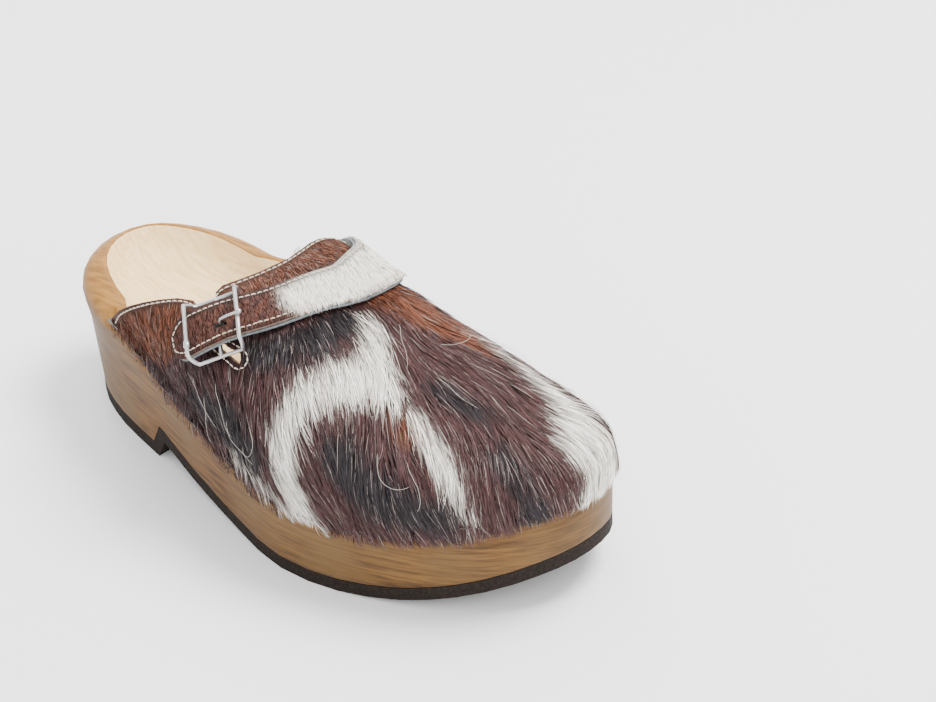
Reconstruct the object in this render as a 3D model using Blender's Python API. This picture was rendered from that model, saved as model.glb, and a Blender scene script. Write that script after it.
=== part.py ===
"""Wooden clog, right shoe: carved sole, rubber tread, hair-on hide upper and a buckled instep strap.

Lengths are in millimetres until make_mesh() turns them into metres.
+X points to the toe, +Y to the medial side (the side of the big toe), +Z up; the heel stands on z = 0.
"""
import math

import bmesh
import bpy
import numpy as np
from mathutils import Matrix, Vector

MM = 0.001
GAP = 0.3  # air left between pieces that touch

# Sole
SOLE_LENGTH = 275.0
HALF_LENGTH = SOLE_LENGTH / 2
OUTLINE = (  # share of the length from the heel, lateral edge y, medial edge y
    (0.03, -17.5, 25.5),
    (0.12, -32.0, 38.5),
    (0.28, -42.5, 36.5),
    (0.45, -53.0, 35.5),
    (0.62, -61.2, 42.5),
    (0.78, -51.0, 48.0),
    (0.90, -33.5, 45.0),
    (0.975, -10.5, 32.5),
)
HEEL_TIP_Y = 4.0
TOE_TIP_Y = 11.0
OUTLINE_STEPS = 28  # points along each side of the sole
SLAB_HALF_WIDTH = 90.0  # tools that cut across the whole sole
RUBBER = 5.9  # thickness
HEEL_BREAST_X = -67.0
BREAST_SLOPE = 6.5
ARCH_LIFT = 11.0
BALL_X = 33.0
SPRING_X = 49.5
TOE_SPRING = 20.0
RECESS = 3.6  # depth of the rebate that the upper is fastened in
RIM_WIDTH = 11.6
WALL_FLARE = ((-137, 4.5), (-85, 4.5), (-40, 2.5), (0, 1.0), (137, 0.5))
SIDES = ("lateral", "medial")
SHELF = {  # height of the bare heel rim's outer edge, then of the rebate's floor
    "lateral": ((-137, 61.0), (-118, 59.0), (-98, 58.0), (-86, 58.0), (-76, 55.5), (-60, 49.5), (-42, 43.5),
                (-20, 38.0), (10, 33.5), (40, 31.0), (65, 31.0), (90, 34.5), (110, 40.0), (125, 46.0),
                (137, 49.5)),
    "medial": ((-137, 61.0), (-118, 59.0), (-98, 58.5), (-76, 60.5), (-60, 61.0), (-50, 56.0), (-34, 48.5),
               (-12, 40.5), (10, 35.5), (40, 32.0), (65, 31.5), (90, 34.5), (110, 40.0), (125, 46.0),
               (137, 49.5)),
}
CREST = {  # height of the wood's highest edge, around the footbed
    "lateral": ((-137, 67.5), (-118, 65.0), (-98, 63.5), (-86, 63.0), (-76, 62.0), (-60, 58.0), (-42, 52.5),
                (-20, 47.0), (10, 42.5), (40, 40.0), (65, 40.0), (90, 43.0), (110, 48.0), (125, 53.0),
                (137, 56.0)),
    "medial": ((-137, 67.5), (-118, 65.0), (-98, 64.0), (-76, 65.5), (-58, 67.0), (-44, 64.5), (-24, 56.5),
               (0, 48.5), (20, 44.0), (40, 41.5), (65, 41.0), (90, 43.0), (110, 48.0), (125, 53.0),
               (137, 56.0)),
}
FOOTBED = (  # height of the footbed along its middle
    (-137, 57.0), (-110, 52.0), (-80, 50.0), (-50, 45.5), (-20, 38.5), (10, 32.5), (40, 28.5), (70, 27.5),
    (100, 31.0), (125, 38.0), (137, 43.0),
)

# Upper
LINING_THICK = 1.0
WALL_GAP = 0.6  # between the wood and the lining, which is straight between its columns of points
HIDE_THICK = 1.9
UPPER_BACK_X = {"lateral": -87.0, "medial": -61.0}
CROWN_X = ((-91, -91), (80, 80), (110, 100), (137.5, 113))  # where each rib of the upper meets the crown
CROWN_Y = ((-91, 8), (-30, 9), (20, 9), (60, 8), (113, 9))
CROWN_HEIGHT = (
    (-91, 93), (-50, 92.5), (-30, 91.5), (-8, 93), (15, 91.5), (40, 86), (65, 80), (90, 73.5), (113, 67),
)
FULLNESS = {  # 2 is a round arch, more is boxier
    "lateral": ((-91, 3.2), (-30, 3.0), (0, 2.5), (60, 2.2), (137, 2.1)),
    "medial": ((-91, 3.6), (-50, 4.4), (-30, 5.2), (0, 3.2), (60, 2.5), (137, 2.1)),
}
BULGE = {
    "lateral": ((-91, 0.6), (137, 0.6)),
    "medial": ((-91, 0.0), (-60, 1.0), (-35, 3.5), (-10, 4.5), (40, 2.5), (80, 0.5), (137, 0.0)),
}
WALL_SHARE = 0.12  # share of a rib that runs straight up beside the wood
SLIT_END_X = {"lateral": -3.0, "medial": 0.0}
QUARTER_TOP = {  # height of the quarters' upper edge, then of the slits' lower edge
    "lateral": ((-87, 63.0), (-81, 69.5), (-72, 76.0), (-62, 81.0), (-54, 84.0), (-45, 86.0), (-38, 85.5),
                (-34, 83.0), (-26, 81.0), (-16, 79.5), (-3, 77.5)),
    "medial": ((-61, 65.5), (-57, 69.5), (-50, 75.5), (-43, 79.5), (-36, 81.0), (-30, 79.0),
               (-22, 76.5), (-11, 74.0), (0, 72.0)),
}
TONGUE_CORNER = {"lateral": (-37.0, 88.0), "medial": (-27.0, 87.5)}  # x, height
TONGUE_MIDDLE_X = -31.0
TONGUE_CORNER_RADIUS = 8.0
SLIT_GAP = ((0, 0.0), (1.5, 3.2), (4, 4.6), (7, 4.0), (11, 2.7), (18, 2.7), (30, 3.4))  # from its end, width
TONGUE_LIFT = {"lateral": 1.5, "medial": 4.0}  # the free corners stand up a little
LIFT_FROM_END = 13.0  # the tongue lies flat this far from the slit's end

# Strap, along the middle of its width from the medial end to the tip: (x of the rib, share up it, side)
STRAP_PATH = (
    (-50, -0.14, "medial"), (-42, 0.045, "medial"), (-33, 0.15, "medial"), (-15, 0.37, "medial"),
    (-1, 0.6, "medial"), (5, 0.8, "medial"), (4, 0.99, "lateral"), (-0.6, 0.92, "lateral"),
    (-6.5, 0.79, "lateral"), (-13, 0.67, "lateral"), (-18.5, 0.574, "lateral"), (-26.7, 0.468, "lateral"),
    (-33.7, 0.379, "lateral"),
)
STRAP_FRONT = 10.5  # from that line to the strap's front edge
STRAP_WIDTHS = ((0, 20.0), (0.25, 22.0), (0.5, 26.5), (0.57, 25.5), (0.66, 23.3), (0.8, 21.0), (1, 21.0))
STRAP_STEPS = 32
STRAP_CLEAR = 1.5  # between the hide and the strap's backing
TIP_CLEAR = 5.1  # the same at the tip, which lies over the riveted chape
BACKING_THICK = 0.9
STRAP_HIDE_THICK = 1.4
TIP_LENGTH = 11.0
STRAP_BEND = 0.0035  # how much the strap's edges wrap down towards the hide

# Buckle
BAR_FROM_TIP = 19.8
WIRE = 0.9  # radius
FRAME_REACH = 12.0  # from the centre bar to each side bar
FRAME_HALF_WIDTH = 13.0
BAR_CURL = 2.0
CHAPE_THICK = 1.0
CHAPE_BASE = 1.45  # its underside above the hide
CHAPE_HALF_WIDTH = 7.0
CHAPE_LENGTH = 16.6
PRONG_ACROSS = 1.5
PRONG_WIRE = 0.6  # radius
RIVET_RADIUS = 3.2
RIVET_STEM = 1.3
RIVET_AT = 12.6

# Stitching and staples
THREAD_RADIUS = 0.35
THREAD_INSET = 2.6
TIP_STITCHES = 6  # points of the stitch line round the strap's tip
TIP_STITCH_STEP = 0.35  # how much further each of them stays from the end
STAPLE_CROWN = 9.0
STAPLE_WIRE = 0.45
STAPLE_LEG = 9.0
STRAP_STAPLE_LEG = 13.0
STAPLE_HEIGHT = 4.0  # above the rebate's floor
STAPLE_XS = (-84, -66, -46, -24, 0, 24, 48, 72, 94, 113)


def through(points, where):
    """Smooth curve through a few (position, value) points, read at where."""
    xs = np.array([p[0] for p in points], float)
    ys = np.array([p[1] for p in points], float)
    where = np.clip(np.asarray(where, float), xs[0], xs[-1])
    slopes = np.gradient(ys, xs)
    i = np.clip(np.searchsorted(xs, where) - 1, 0, len(xs) - 2)
    span = xs[i + 1] - xs[i]
    t = (where - xs[i]) / span
    rise = ys[i + 1] - ys[i]
    start = slopes[i] * span
    end = slopes[i + 1] * span
    return ys[i] + start * t + (3 * rise - 2 * start - end) * t**2 + (start + end - 2 * rise) * t**3


def blend(low, high, share):
    return low + (high - low) * share


def ease(share):
    share = np.clip(share, 0.0, 1.0)
    return share * share * (3 - 2 * share)


# ---------------------------------------------------------------- meshes

def material(name, colour, roughness, metallic=0.0):
    made = bpy.data.materials.new(name)
    made.use_nodes = True
    shader = made.node_tree.nodes["Principled BSDF"]
    shader.inputs["Base Color"].default_value = (*colour, 1.0)
    shader.inputs["Roughness"].default_value = roughness
    shader.inputs["Metallic"].default_value = metallic
    return made


def new_object(name, mesh, made_of=None):
    thing = bpy.data.objects.new(name, mesh)
    bpy.context.scene.collection.objects.link(thing)
    if made_of is not None:
        mesh.materials.append(made_of)
    return thing


def make_mesh(name, points, faces):
    """A mesh in metres from points in millimetres, with doubled points welded and faces turned out."""
    shape = bmesh.new()
    verts = [shape.verts.new(Vector(p) * MM) for p in points]
    for face in faces:
        shape.faces.new([verts[i] for i in face])
    bmesh.ops.remove_doubles(shape, verts=shape.verts, dist=0.00002)
    bmesh.ops.recalc_face_normals(shape, faces=shape.faces)
    mesh = bpy.data.meshes.new(name)
    shape.to_mesh(mesh)
    shape.free()
    return mesh


def shade(thing, angle=40):
    thing.data.shade_smooth()
    thing.data.set_sharp_from_angle(angle=math.radians(angle))


def hide_tool(thing):
    thing.hide_render = True
    thing.display_type = "WIRE"


def combine(thing, tool, operation):
    step = thing.modifiers.new(operation.title(), "BOOLEAN")
    step.operation = operation
    step.solver = "EXACT"
    step.object = tool
    hide_tool(tool)


def loft_faces(rings, count, closed_ring=True):
    """Quads between successive rings of count points."""
    faces = []
    steps = count if closed_ring else count - 1
    for r in range(rings - 1):
        for i in range(steps):
            j = (i + 1) % count
            faces.append((r * count + i, r * count + j, (r + 1) * count + j, (r + 1) * count + i))
    return faces


def ring_solid(rings):
    """Points and faces of a closed tube: rings of equal length joined up, with both ends capped."""
    count = len(rings[0])
    points = [p for ring in rings for p in ring]
    faces = loft_faces(len(rings), count)
    faces.append(tuple(range(count))[::-1])
    faces.append(tuple(range((len(rings) - 1) * count, len(rings) * count)))
    return points, faces


def thicken(name, points, faces, near, far, made_of):
    """Closed solid between two offsets of an open sheet whose faces all turn out."""
    sheet = bmesh.new()
    verts = [sheet.verts.new(Vector(p)) for p in points]
    for face in faces:
        corners = []
        for i in face:
            if verts[i] not in corners:
                corners.append(verts[i])
        sheet.faces.new(corners)
    bmesh.ops.remove_doubles(sheet, verts=sheet.verts, dist=0.02)
    bmesh.ops.triangulate(sheet, faces=sheet.faces)
    bmesh.ops.recalc_face_normals(sheet, faces=sheet.faces)
    highest = max(sheet.faces, key=lambda f: f.calc_center_median().z)
    if highest.normal.z < 0:
        bmesh.ops.reverse_faces(sheet, faces=sheet.faces)
    sheet.normal_update()
    sheet.verts.index_update()
    count = len(sheet.verts)
    solid = [v.co + v.normal * near for v in sheet.verts] + [v.co + v.normal * far for v in sheet.verts]
    walls = []
    for face in sheet.faces:
        walls.append(tuple(v.index + count for v in face.verts))
        walls.append(tuple(v.index for v in reversed(face.verts)))
    for edge in sheet.edges:
        if edge.is_boundary:
            a, b = (v.index for v in edge.verts)
            walls.append((a, b, b + count, a + count))
    sheet.free()
    thing = new_object(name, make_mesh(name, solid, walls), made_of)
    shade(thing)
    return thing


def tube(name, path, radius, made_of, closed=False, resolution=2):
    """Round wire along a list of points in millimetres."""
    curve = bpy.data.curves.new(name, "CURVE")
    curve.dimensions = "3D"
    curve.bevel_depth = radius * MM
    curve.bevel_resolution = resolution
    curve.use_fill_caps = not closed
    spline = curve.splines.new("POLY")
    spline.points.add(len(path) - 1)
    for point, place in zip(spline.points, path):
        point.co = (*(Vector(place) * MM), 1.0)
    spline.use_cyclic_u = closed
    thing = bpy.data.objects.new(name, curve)
    bpy.context.scene.collection.objects.link(thing)
    if made_of is not None:
        curve.materials.append(made_of)
    return thing


def block(centre, along, across, up, half_sizes):
    """Points and faces of a box with the given axes."""
    points = []
    for k in (-1, 1):
        for i, j in ((-1, -1), (1, -1), (1, 1), (-1, 1)):
            corner = along * i * half_sizes[0] + across * j * half_sizes[1] + up * k * half_sizes[2]
            points.append(centre + corner)
    faces = [(0, 3, 2, 1), (4, 5, 6, 7)]
    faces += [(i, (i + 1) % 4, (i + 1) % 4 + 4, i + 4) for i in range(4)]
    return points, faces


def join_shapes(shapes):
    points, faces = [], []
    for more_points, more_faces in shapes:
        start = len(points)
        points += more_points
        faces += [tuple(i + start for i in face) for face in more_faces]
    return points, faces


# ---------------------------------------------------------------- sole

def outline_table():
    """The outline as (angle, y) points: the angle runs from the heel along the lateral side and back."""
    table = [(0.0, HEEL_TIP_Y)]
    table += [(math.acos(1 - 2 * share), lateral) for share, lateral, _ in OUTLINE]
    table.append((math.pi, TOE_TIP_Y))
    table += [(2 * math.pi - math.acos(1 - 2 * share), medial) for share, _, medial in reversed(OUTLINE)]
    before = [(angle - 2 * math.pi, y) for angle, y in table[-3:]]
    after = [(angle + 2 * math.pi, y) for angle, y in table[:3]]
    return before + table + after


OUTLINE_TABLE = outline_table()


def outline_point(angle, offset=0.0):
    """(x, y) on the outline at an angle (0 heel, pi toe), pushed out by offset."""
    def place(at):
        return np.array([-HALF_LENGTH * math.cos(at), float(through(OUTLINE_TABLE, at % (2 * math.pi)))])

    step = 0.002
    run = place(angle + step) - place(angle - step)
    outward = np.array([run[1], -run[0]]) / np.linalg.norm(run)
    if outward @ (place(angle) - np.array([0.0, 5.0])) < 0:
        outward = -outward
    return place(angle) + outward * offset


def side_angle(x, side):
    angle = math.acos(max(-1.0, min(1.0, -x / HALF_LENGTH)))
    return angle if side == "lateral" else 2 * math.pi - angle


def sole_ring(offset_at, height_at):
    """One ring of the sole: offset and height are functions of x and side."""
    ring = []
    for i in range(2 * OUTLINE_STEPS):
        angle = math.pi * i / OUTLINE_STEPS
        x = -HALF_LENGTH * math.cos(angle)
        side = SIDES[i > OUTLINE_STEPS]
        ring.append((*outline_point(angle, offset_at(x, side)), float(height_at(x, side))))
    return ring


def flare(x):
    return float(through(WALL_FLARE, x))


def forward_share(x, side):
    """0 on the bare heel rim, 1 where the upper is fastened."""
    return float(ease((x - UPPER_BACK_X[side] + 5.0) / 7.0))


def sole_rings():
    def shelf(x, side):
        return float(through(SHELF[side], x))

    def crest(x, side):
        return float(through(CREST[side], x))

    def offset(heel, front):
        return lambda x, side: flare(x) - blend(heel, front, forward_share(x, side))

    def height(base, heel, front):
        return lambda x, side: base(x, side) + blend(heel, front, forward_share(x, side))

    def under_crest(x, side):
        return blend(shelf(x, side) + 3.9, crest(x, side) - 1.2, forward_share(x, side))

    rings = [
        sole_ring(lambda x, side: 0.0, lambda x, side: -20.0),
        sole_ring(lambda x, side: 0.0, lambda x, side: 8.0 + tread_height(x)),
        sole_ring(lambda x, side: flare(x) * 0.55, lambda x, side: shelf(x, side) * 0.62 + 6.0),
        sole_ring(offset(0.0, 0.0), height(shelf, -5.0, -2.2)),
        sole_ring(offset(0.9, 0.7), height(shelf, -1.4, -0.4)),
        sole_ring(offset(3.0, RECESS - 0.02), height(shelf, 1.4, 0.0)),
        sole_ring(offset(6.5, RECESS), under_crest),
        sole_ring(offset(9.8, RECESS + 1.2), height(crest, -0.7, 0.0)),
        sole_ring(offset(RIM_WIDTH, RECESS + 3.0), crest),
        sole_ring(offset(RIM_WIDTH + 0.7, RECESS + 4.2), height(crest, -1.0, -1.0)),
    ]
    edge = rings[-1]
    for share in (0.94, 0.84, 0.68, 0.46, 0.22):
        ring = []
        for i, point in enumerate(edge):
            other = edge[-i % len(edge)]
            middle = np.array([point[0] * 0.8, (point[1] + other[1]) / 2])
            spot = blend(middle, np.array(point[:2]), share)
            floor = float(through(FOOTBED, spot[0]))
            ring.append((*spot, blend(floor, point[2], share**5)))
        rings.append(ring)
    return rings


def tread_height(x):
    """Height of the tread's underside."""
    if x <= HEEL_BREAST_X:
        return 0.0
    if x < BALL_X:
        start = HEEL_BREAST_X + BREAST_SLOPE
        if x < start:
            return ARCH_LIFT * (x - HEEL_BREAST_X) / BREAST_SLOPE
        return ARCH_LIFT * ((BALL_X - x) / (BALL_X - start)) ** 2
    if x <= SPRING_X:
        return 0.0
    return TOE_SPRING * ((x - SPRING_X) / (HALF_LENGTH - SPRING_X)) ** 2


def tread_profile(rise):
    """Side view of the tread raised by rise along its own normal, from heel to toe."""
    xs = [-HALF_LENGTH - 20, HEEL_BREAST_X, HEEL_BREAST_X + BREAST_SLOPE]
    xs += list(np.linspace(HEEL_BREAST_X + BREAST_SLOPE, BALL_X, 10)[1:])
    xs += list(np.linspace(SPRING_X, HALF_LENGTH + 20, 11))
    base = [np.array([x, tread_height(x)]) for x in xs]
    raised = []
    for i, point in enumerate(base):
        run_in = point - base[i - 1] if i else base[1] - base[0]
        run_out = base[i + 1] - point if i < len(base) - 1 else run_in
        normals = [np.array([-r[1], r[0]]) / np.linalg.norm(r) for r in (run_in, run_out)]
        bisector = (normals[0] + normals[1]) / np.linalg.norm(normals[0] + normals[1])
        raised.append(point + bisector * rise / max(0.5, float(bisector @ normals[0])))
    return base, raised


def side_slab(name, low, high):
    """Slab across the whole sole between two side-view profiles of equal length."""
    y = SLAB_HALF_WIDTH
    rings = []
    for a, b in zip(low, high):
        rings.append([(a[0], y, a[1]), (b[0], y, b[1]), (b[0], -y, b[1]), (a[0], -y, a[1])])
    return new_object(name, make_mesh(name, *ring_solid(rings)))


def wooden_sole(wood):
    rings = sole_rings()
    count = len(rings[0])
    points = [p for ring in rings for p in ring]
    faces = loft_faces(len(rings), count)
    faces.append(tuple(range(count)))
    last = (len(rings) - 1) * count
    half = count // 2
    faces.append((last, last + 1, last + count - 1))
    faces.append((last + half - 1, last + half, last + half + 1))
    for i in range(1, half - 1):
        faces.append((last + i, last + i + 1, last + count - i - 1, last + count - i))
    sole = new_object("wooden_sole", make_mesh("wooden_sole", points, faces), wood)
    _, top = tread_profile(RUBBER + GAP)
    below = [np.array([p[0], -60.0]) for p in top]
    combine(sole, side_slab("tread_cutter", below, top), "DIFFERENCE")
    shade(sole, 35)
    return sole


def rubber_outsole(rubber):
    ring_low = sole_ring(lambda x, side: 0.0, lambda x, side: -20.0)
    ring_high = sole_ring(lambda x, side: 0.0, lambda x, side: 60.0)
    column = make_mesh("rubber_outsole", *ring_solid([ring_low, ring_high]))
    outsole = new_object("rubber_outsole", column, rubber)
    base, top = tread_profile(RUBBER)
    combine(outsole, side_slab("tread_slab", base, top), "INTERSECT")
    shade(outsole, 35)
    return outsole


# ---------------------------------------------------------------- upper

def upper_frame(x, side):
    """What a rib of the upper at x needs: base, outward direction, crown and heights."""
    angle = side_angle(x, side)
    inset = flare(x) - RECESS + WALL_GAP + LINING_THICK
    base = outline_point(angle, inset)
    outward = outline_point(angle, inset + 1.0) - base
    crown_x = float(through(CROWN_X, x))
    crown = np.array([crown_x, float(through(CROWN_Y, crown_x))])
    low = float(through(SHELF[side], x)) + 0.5
    wall_top = float(through(CREST[side], x)) + 0.4
    height = float(through(CROWN_HEIGHT, crown_x))
    fullness = float(through(FULLNESS[side], x))
    bulge = float(through(BULGE[side], x))
    return base, outward, crown, low, wall_top, height, fullness, bulge


def rib_point(x, side, share):
    """Point of the upper's middle surface; share 0 is its lower edge and 1 is the crown."""
    base, outward, crown, low, wall_top, height, fullness, bulge = upper_frame(x, side)
    if share <= WALL_SHARE:
        return np.array([*base, blend(low, wall_top, share / WALL_SHARE)])
    turn = (share - WALL_SHARE) / (1 - WALL_SHARE) * math.pi / 2
    rise = math.sin(turn) ** (2 / fullness)
    inward = 1 - max(0.0, math.cos(turn)) ** (2 / fullness)
    spot = blend(base, crown, inward) + outward * bulge * math.sin(math.pi * min(1.0, rise))
    return np.array([*spot, blend(wall_top, height, rise)])


def share_at_height(x, side, z):
    _, _, _, low, wall_top, height, fullness, _ = upper_frame(x, side)
    if z <= wall_top:
        return WALL_SHARE * (z - low) / (wall_top - low)
    rise = min(1.0, (z - wall_top) / (height - wall_top))
    turn = math.asin(rise ** (fullness / 2))
    return WALL_SHARE + (1 - WALL_SHARE) * turn / (math.pi / 2)


def slit_share(x, side, upper_lip):
    """Share along a rib of the slit's lower or upper lip."""
    from_end = SLIT_END_X[side] - x
    z = float(through(QUARTER_TOP[side], x))
    low = share_at_height(x, side, z)
    if not upper_lip:
        return low
    corner_x, corner_z = TONGUE_CORNER[side]
    gap = float(through(SLIT_GAP, from_end))
    along = np.clip(from_end / (SLIT_END_X[side] - corner_x), 0, 1)
    end_z = float(through(QUARTER_TOP[side], SLIT_END_X[side]))
    line = share_at_height(x, side, blend(end_z, corner_z, along**1.1))
    step = 1.0 / rib_length(x, side)
    return max(low + gap * step, line if from_end > 9 else low + gap * step)


def rib_length(x, side):
    points = [rib_point(x, side, s) for s in np.linspace(WALL_SHARE, 1, 12)]
    return sum(float(np.linalg.norm(b - a)) for a, b in zip(points[:-1], points[1:])) / (1 - WALL_SHARE)


def tongue_point(x, side, share):
    point = rib_point(x, side, share)
    back = ease((SLIT_END_X[side] - x - LIFT_FROM_END) / 16.0)
    across = abs(point[1] - float(through(CROWN_Y, x))) / 35.0
    point[2] += float(TONGUE_LIFT[side] * back * across**2)
    return point


QUARTER_ROWS = 6
TONGUE_ROWS = 6
BACK_COLUMNS = 13
FRONT_COLUMNS = 13


def front_grid(side):
    """Rows of points of the vamp in front of the slits, from the lower edge to the crown."""
    start = SLIT_END_X[side]
    end_share = slit_share(start, side, False)
    grid = []
    for i in range(FRONT_COLUMNS + 1):
        turn = blend(side_angle(start, "lateral"), math.pi, (i / FRONT_COLUMNS) ** 0.9)
        x = -HALF_LENGTH * math.cos(turn)
        column = [rib_point(x, side, end_share * j / QUARTER_ROWS) for j in range(QUARTER_ROWS + 1)]
        for j in range(1, TONGUE_ROWS + 1):
            column.append(rib_point(x, side, blend(end_share, 1.0, j / TONGUE_ROWS)))
        grid.append(column)
    return grid


def quarter_grid(side):
    start, end = UPPER_BACK_X[side], SLIT_END_X[side]
    grid = []
    for i in range(BACK_COLUMNS + 1):
        x = blend(start, end, 1 - (1 - i / BACK_COLUMNS) ** 1.25)
        top = slit_share(x, side, False)
        grid.append([rib_point(x, side, top * j / QUARTER_ROWS) for j in range(QUARTER_ROWS + 1)])
    return grid


def tongue_start(side, from_edge):
    """x of the tongue's back edge at a distance from its side edge, with the corner rounded."""
    corner_x, _ = TONGUE_CORNER[side]
    reach = 33.0
    x = blend(corner_x, TONGUE_MIDDLE_X, ease(from_edge / reach))
    rest = max(0.0, 1 - from_edge / TONGUE_CORNER_RADIUS)
    return x + TONGUE_CORNER_RADIUS * (1 - math.sqrt(1 - rest * rest))


def tongue_grid(side):
    grid = []
    end = SLIT_END_X[side]
    half_width = 33.0
    for i in range(BACK_COLUMNS + 1):
        column = []
        for j in range(TONGUE_ROWS + 1):
            share_across = (j / TONGUE_ROWS) ** 1.3
            start = tongue_start(side, share_across * half_width)
            x = blend(start, end, 1 - (1 - i / BACK_COLUMNS) ** 1.25)
            lip = slit_share(x, side, True)
            front = blend(slit_share(end, side, False), 1.0, j / TONGUE_ROWS)
            back = blend(lip, 1.0, share_across)
            near_end = ease(1 - (end - x) / 12.0)
            share = blend(back, max(front, lip), near_end) if j else lip
            column.append(tongue_point(x, side, share))
        grid.append(column)
    return grid


def crown_meets(grids):
    """Give both halves of a crown the same points: the lateral half's and the medial half's average."""
    lateral, medial = grids
    for a, b in zip(lateral, medial):
        middle = (a[-1] + b[-1]) / 2
        a[-1] = middle
        b[-1] = middle.copy()


def grid_faces(grid, start):
    rows = len(grid[0])
    return [tuple(start + k for k in face) for face in loft_faces(len(grid), rows, closed_ring=False)]


def upper_sheet():
    """Middle surface of the upper: two quarters, a tongue between the slits, and the vamp."""
    front = [front_grid(side) for side in SIDES]
    tongue = [tongue_grid(side) for side in SIDES]
    quarters = [quarter_grid(side) for side in SIDES]
    crown_meets(front)
    crown_meets(tongue)
    points, faces = [], []
    for half in range(2):
        for j in range(QUARTER_ROWS + 1):
            quarters[half][-1][j] = front[half][0][j]
        for j in range(TONGUE_ROWS + 1):
            tongue[half][-1][j] = front[half][0][QUARTER_ROWS + j]
        for j in range(QUARTER_ROWS + TONGUE_ROWS + 1):
            front[1][-1][j] = front[0][-1][j]
        for grid in (front[half], tongue[half], quarters[half]):
            faces += grid_faces(grid, len(points))
            points += [p for column in grid for p in column]
    return points, faces


def upper_skin(x, side, share, lift):
    """Point on the upper lifted off its middle surface, and the outward normal there."""
    step = 0.004
    ahead, behind = rib_point(x + 0.4, side, share), rib_point(x - 0.4, side, share)
    above = rib_point(x, side, min(1.0, share + step))
    below = rib_point(x, side, share - step)
    normal = np.cross(above - below, ahead - behind)
    if side == "lateral":
        normal = -normal
    normal /= np.linalg.norm(normal)
    return rib_point(x, side, share) + normal * lift, normal


# ---------------------------------------------------------------- strap

HIDE_TOP = GAP + HIDE_THICK  # outer face of the hide above the upper's middle surface


def strap_centre_line():
    """Evenly spaced points along the middle of the strap with their outward normals."""
    knots = [upper_skin(x, side, share, 0.0) for x, share, side in STRAP_PATH]
    places = np.array([k[0] for k in knots])
    normals = np.array([k[1] for k in knots])
    lengths = np.concatenate([[0], np.cumsum(np.linalg.norm(np.diff(places, axis=0), axis=1))])
    stations = np.linspace(0, lengths[-1], STRAP_STEPS + 1)
    line = np.array([through(list(zip(lengths, places[:, k])), stations) for k in range(3)]).T
    facing = np.array([through(list(zip(lengths, normals[:, k])), stations) for k in range(3)]).T
    facing /= np.linalg.norm(facing, axis=1)[:, None]
    return line, facing, stations


def strap_axes(line, facing):
    """Forward, width and outward directions at each point of the strap."""
    along = np.gradient(line, axis=0)
    along /= np.linalg.norm(along, axis=1)[:, None]
    width = np.cross(facing, along)
    width /= np.linalg.norm(width, axis=1)[:, None]
    return along, width, np.cross(along, width)


LINE, FACING, STATIONS = strap_centre_line()
ALONG, WIDTH, OUT = strap_axes(LINE, FACING)
STRAP_LENGTH = STATIONS[-1]
BAR_STATION = STRAP_LENGTH - BAR_FROM_TIP
BAR_HEIGHT = CHAPE_BASE + CHAPE_THICK + GAP + WIRE  # centre bar's middle above the hide
STRAP_OVER_BAR = BAR_HEIGHT + WIRE + GAP + 2 * PRONG_WIRE + GAP
STRAP_STACK = BACKING_THICK + GAP + STRAP_HIDE_THICK


def near_bar(station):
    """1 from the buckle's centre bar to the tip, falling off towards the medial end."""
    before = max(0.0, BAR_STATION - station)
    return math.exp(-((before / 14.0) ** 2))


def strap_lift(station):
    """Height of the strap's underside above the hide: it rides up over the buckle's centre bar."""
    past_bar = ease((station - BAR_STATION) / BAR_FROM_TIP)
    return blend(STRAP_CLEAR, blend(STRAP_OVER_BAR, TIP_CLEAR, past_bar), near_bar(station))


def strap_edges(station, inset=0.0):
    """Back and front edges across the strap, with a round tip at the lateral end."""
    width = float(through(STRAP_WIDTHS, station / STRAP_LENGTH))
    from_tip = min(1.0, (STRAP_LENGTH - station) / TIP_LENGTH)
    narrow = max(0.28, math.sqrt(1 - (1 - from_tip) ** 2.4))
    return (STRAP_FRONT - width) * narrow + inset, STRAP_FRONT * narrow - inset


def on_hide(station, across, up):
    """Point at a station of the strap's route, a distance across it and a height above the hide."""
    def read(table):
        return np.array([np.interp(station, STATIONS, table[:, k]) for k in range(3)])

    return read(LINE) + read(OUT) * (HIDE_TOP + up) + read(WIDTH) * across


def on_strap(station, across, height):
    """The same, but above the strap's own underside."""
    bend = STRAP_BEND * across**2 * (1 - near_bar(station))
    return on_hide(station, across, strap_lift(station) + height - bend)


def strap_layer(name, low, high, inset, made_of):
    """One leather layer of the strap between two heights above its underside."""
    rows = np.linspace(0, 1, 5)
    stations = list(np.linspace(0, STRAP_LENGTH - TIP_LENGTH, STRAP_STEPS - 6))
    stations += [STRAP_LENGTH - TIP_LENGTH * (1 - math.sin(i / 6 * math.pi / 2)) for i in range(1, 7)]
    rings = []
    for station in stations:
        back, front = strap_edges(station, inset)
        lower = [on_strap(station, blend(back, front, r), low) for r in rows]
        upper = [on_strap(station, blend(back, front, r), high) for r in rows[::-1]]
        rings.append(lower + upper)
    layer = new_object(name, make_mesh(name, *ring_solid(rings)), made_of)
    shade(layer)
    return layer


def strap_edge_path(height):
    """The stitch line: up one edge of the strap, round the tip and back down the other edge."""
    stations = list(np.linspace(4, STRAP_LENGTH - TIP_LENGTH, 34))
    for i in range(1, TIP_STITCHES + 1):
        round_tip = TIP_LENGTH * (1 - math.sin(i / TIP_STITCHES * math.pi / 2))
        stations.append(STRAP_LENGTH - round_tip - TIP_STITCH_STEP * i)
    front = [on_strap(s, strap_edges(s, THREAD_INSET)[1], height) for s in stations]
    back = [on_strap(s, strap_edges(s, THREAD_INSET)[0], height) for s in reversed(stations)]
    return front + back


# ---------------------------------------------------------------- buckle

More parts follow.
